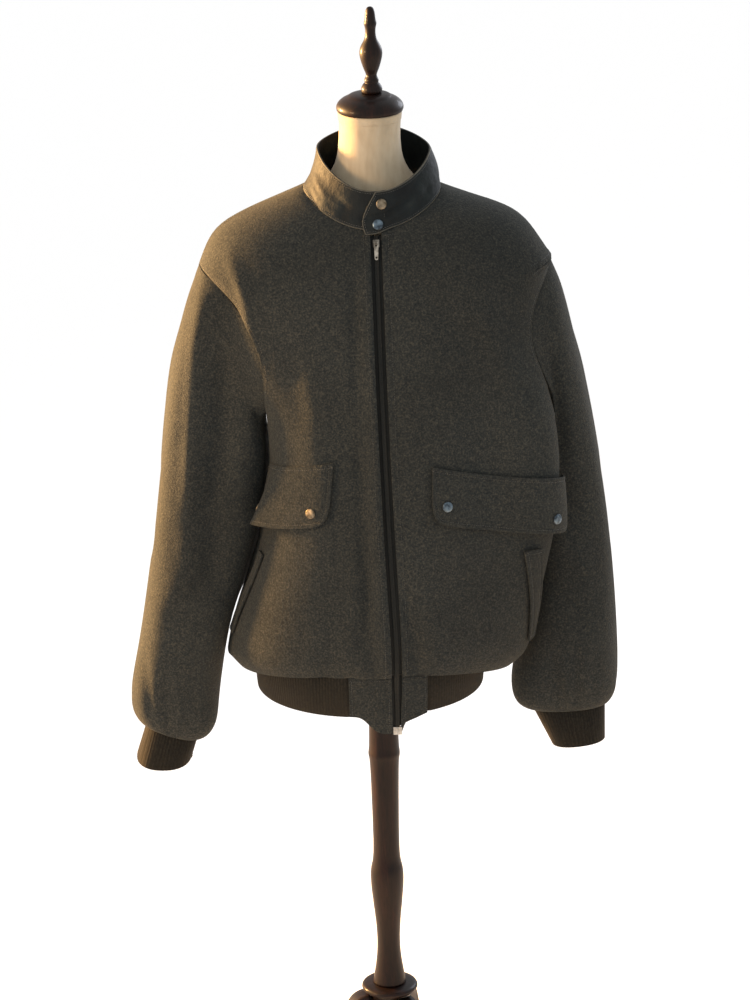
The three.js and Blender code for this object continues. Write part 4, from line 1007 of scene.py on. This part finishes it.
# Stand: turned and carved beech, stained dark mahogany and varnished: cap and finial above, and a pole,
# hub and three curved legs below.
GRAIN, PORE = 5, 1.1
wood, tree, place = material("turned beech, dark mahogany stain and gloss varnish")
along = node(tree, "ShaderNodeMapping", {"Vector": place, "Scale": (1, 1, 0.08)})
grain = node(
    tree, "ShaderNodeTexNoise", {"Vector": along, "Scale": BLOBS / GRAIN, "Detail": 4, "Roughness": 0.65}
)
along = node(tree, "ShaderNodeMapping", {"Vector": place, "Scale": (1, 1, 0.12)})
pores = node(
    tree, "ShaderNodeTexNoise", {"Vector": along, "Scale": BLOBS / PORE, "Detail": 2, "Roughness": 0.5}
)
colour = node(
    tree,
    "ShaderNodeValToRGB",
    {"Fac": grain},
    stops=[(0.3, "#0a0504"), (0.52, "#150906"), (0.75, "#23100a")],
)
shaded = node(tree, "ShaderNodeValToRGB", {"Fac": pores}, stops=[(0.35, "#7a6a62"), (0.55, "#ffffff")])
colour = node(
    tree,
    "ShaderNodeMix",
    {SHARE: 0.6, FIRST: colour, SECOND: shaded},
    MIXED,
    data_type="RGBA",
    blend_type="MULTIPLY",
)
open_grain = node(tree, "ShaderNodeBump", {"Height": pores, "Distance": 0.06 * MM, "Strength": 0.4})
surface = node(
    tree,
    "ShaderNodeBsdfPrincipled",
    {
        "Base Color": colour,
        "Normal": open_grain,
        "Roughness": 0.5,
        "Specular IOR Level": 0.12,
        "Coat Weight": 0.1,
        "Coat Roughness": 0.1,
    },
)
node(tree, "ShaderNodeOutputMaterial", {"Surface": surface})

WOOD_CORNER = math.radians(62)
for name in ("neck_cap", "finial", "pole", "hub", "leg_1", "leg_2", "leg_3"):
    mesh = quads_of(name)
    crease_corners(mesh, WOOD_CORNER)
    turned = piece(name + "_wood", mesh, wood, 2)
    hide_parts(name)


# Floor and studio: a pale floor under soft lights, with a warm one low on the wearer's right.
FLOOR_SIDE = 40
mesh = bmesh.new()
bmesh.ops.create_grid(mesh, x_segments=1, y_segments=1, size=FLOOR_SIDE / 2)
floor_data = bpy.data.meshes.new("floor")
mesh.to_mesh(floor_data)
mesh.free()
floor = bpy.data.objects.new("floor", floor_data)
bpy.context.scene.collection.objects.link(floor)
pale, tree, _ = material("pale studio paper")
surface = node(
    tree,
    "ShaderNodeBsdfPrincipled",
    {"Base Color": "#ffffff", "Roughness": 0.95, "Specular IOR Level": 0.1},
)
node(tree, "ShaderNodeOutputMaterial", {"Surface": surface})
floor_data.materials.append(pale)
floor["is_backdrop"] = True


def light(name, at, towards, size, power, code, spread):
    lamp = bpy.data.lights.new(name, "AREA")
    lamp.shape = "RECTANGLE"
    lamp.size, lamp.size_y = size
    lamp.energy = power
    lamp.spread = math.radians(spread)
    lamp.color = linear(code)[:3]
    made = bpy.data.objects.new(name, lamp)
    made.location = at
    made.rotation_euler = (Vector(towards) - Vector(at)).to_track_quat("-Z", "Y").to_euler()
    bpy.context.scene.collection.objects.link(made)


light("low warm light", (-3.3, 1.4, 1.6), (-0.15, 0, 1.2), (0.8, 0.9), 165, "#ffc680", 60)
light("warm front light", (-3.4, -1.7, 1.8), (-0.1, 0, 1.15), (0.9, 0.9), 30, "#ffd2a0", 90)
light("back light", (2.2, 2.6, 2.4), (0, 0, 1.2), (1.6, 1.6), 30, "#eef3ff", 120)
world = bpy.data.worlds.new("studio air")
world.use_nodes = True
world.node_tree.nodes["Background"].inputs["Color"].default_value = linear("#ffffff")
world.node_tree.nodes["Background"].inputs["Strength"].default_value = 1.0
bpy.context.scene.world = world
bpy.context.scene.view_settings.view_transform = "Standard"

low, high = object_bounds()
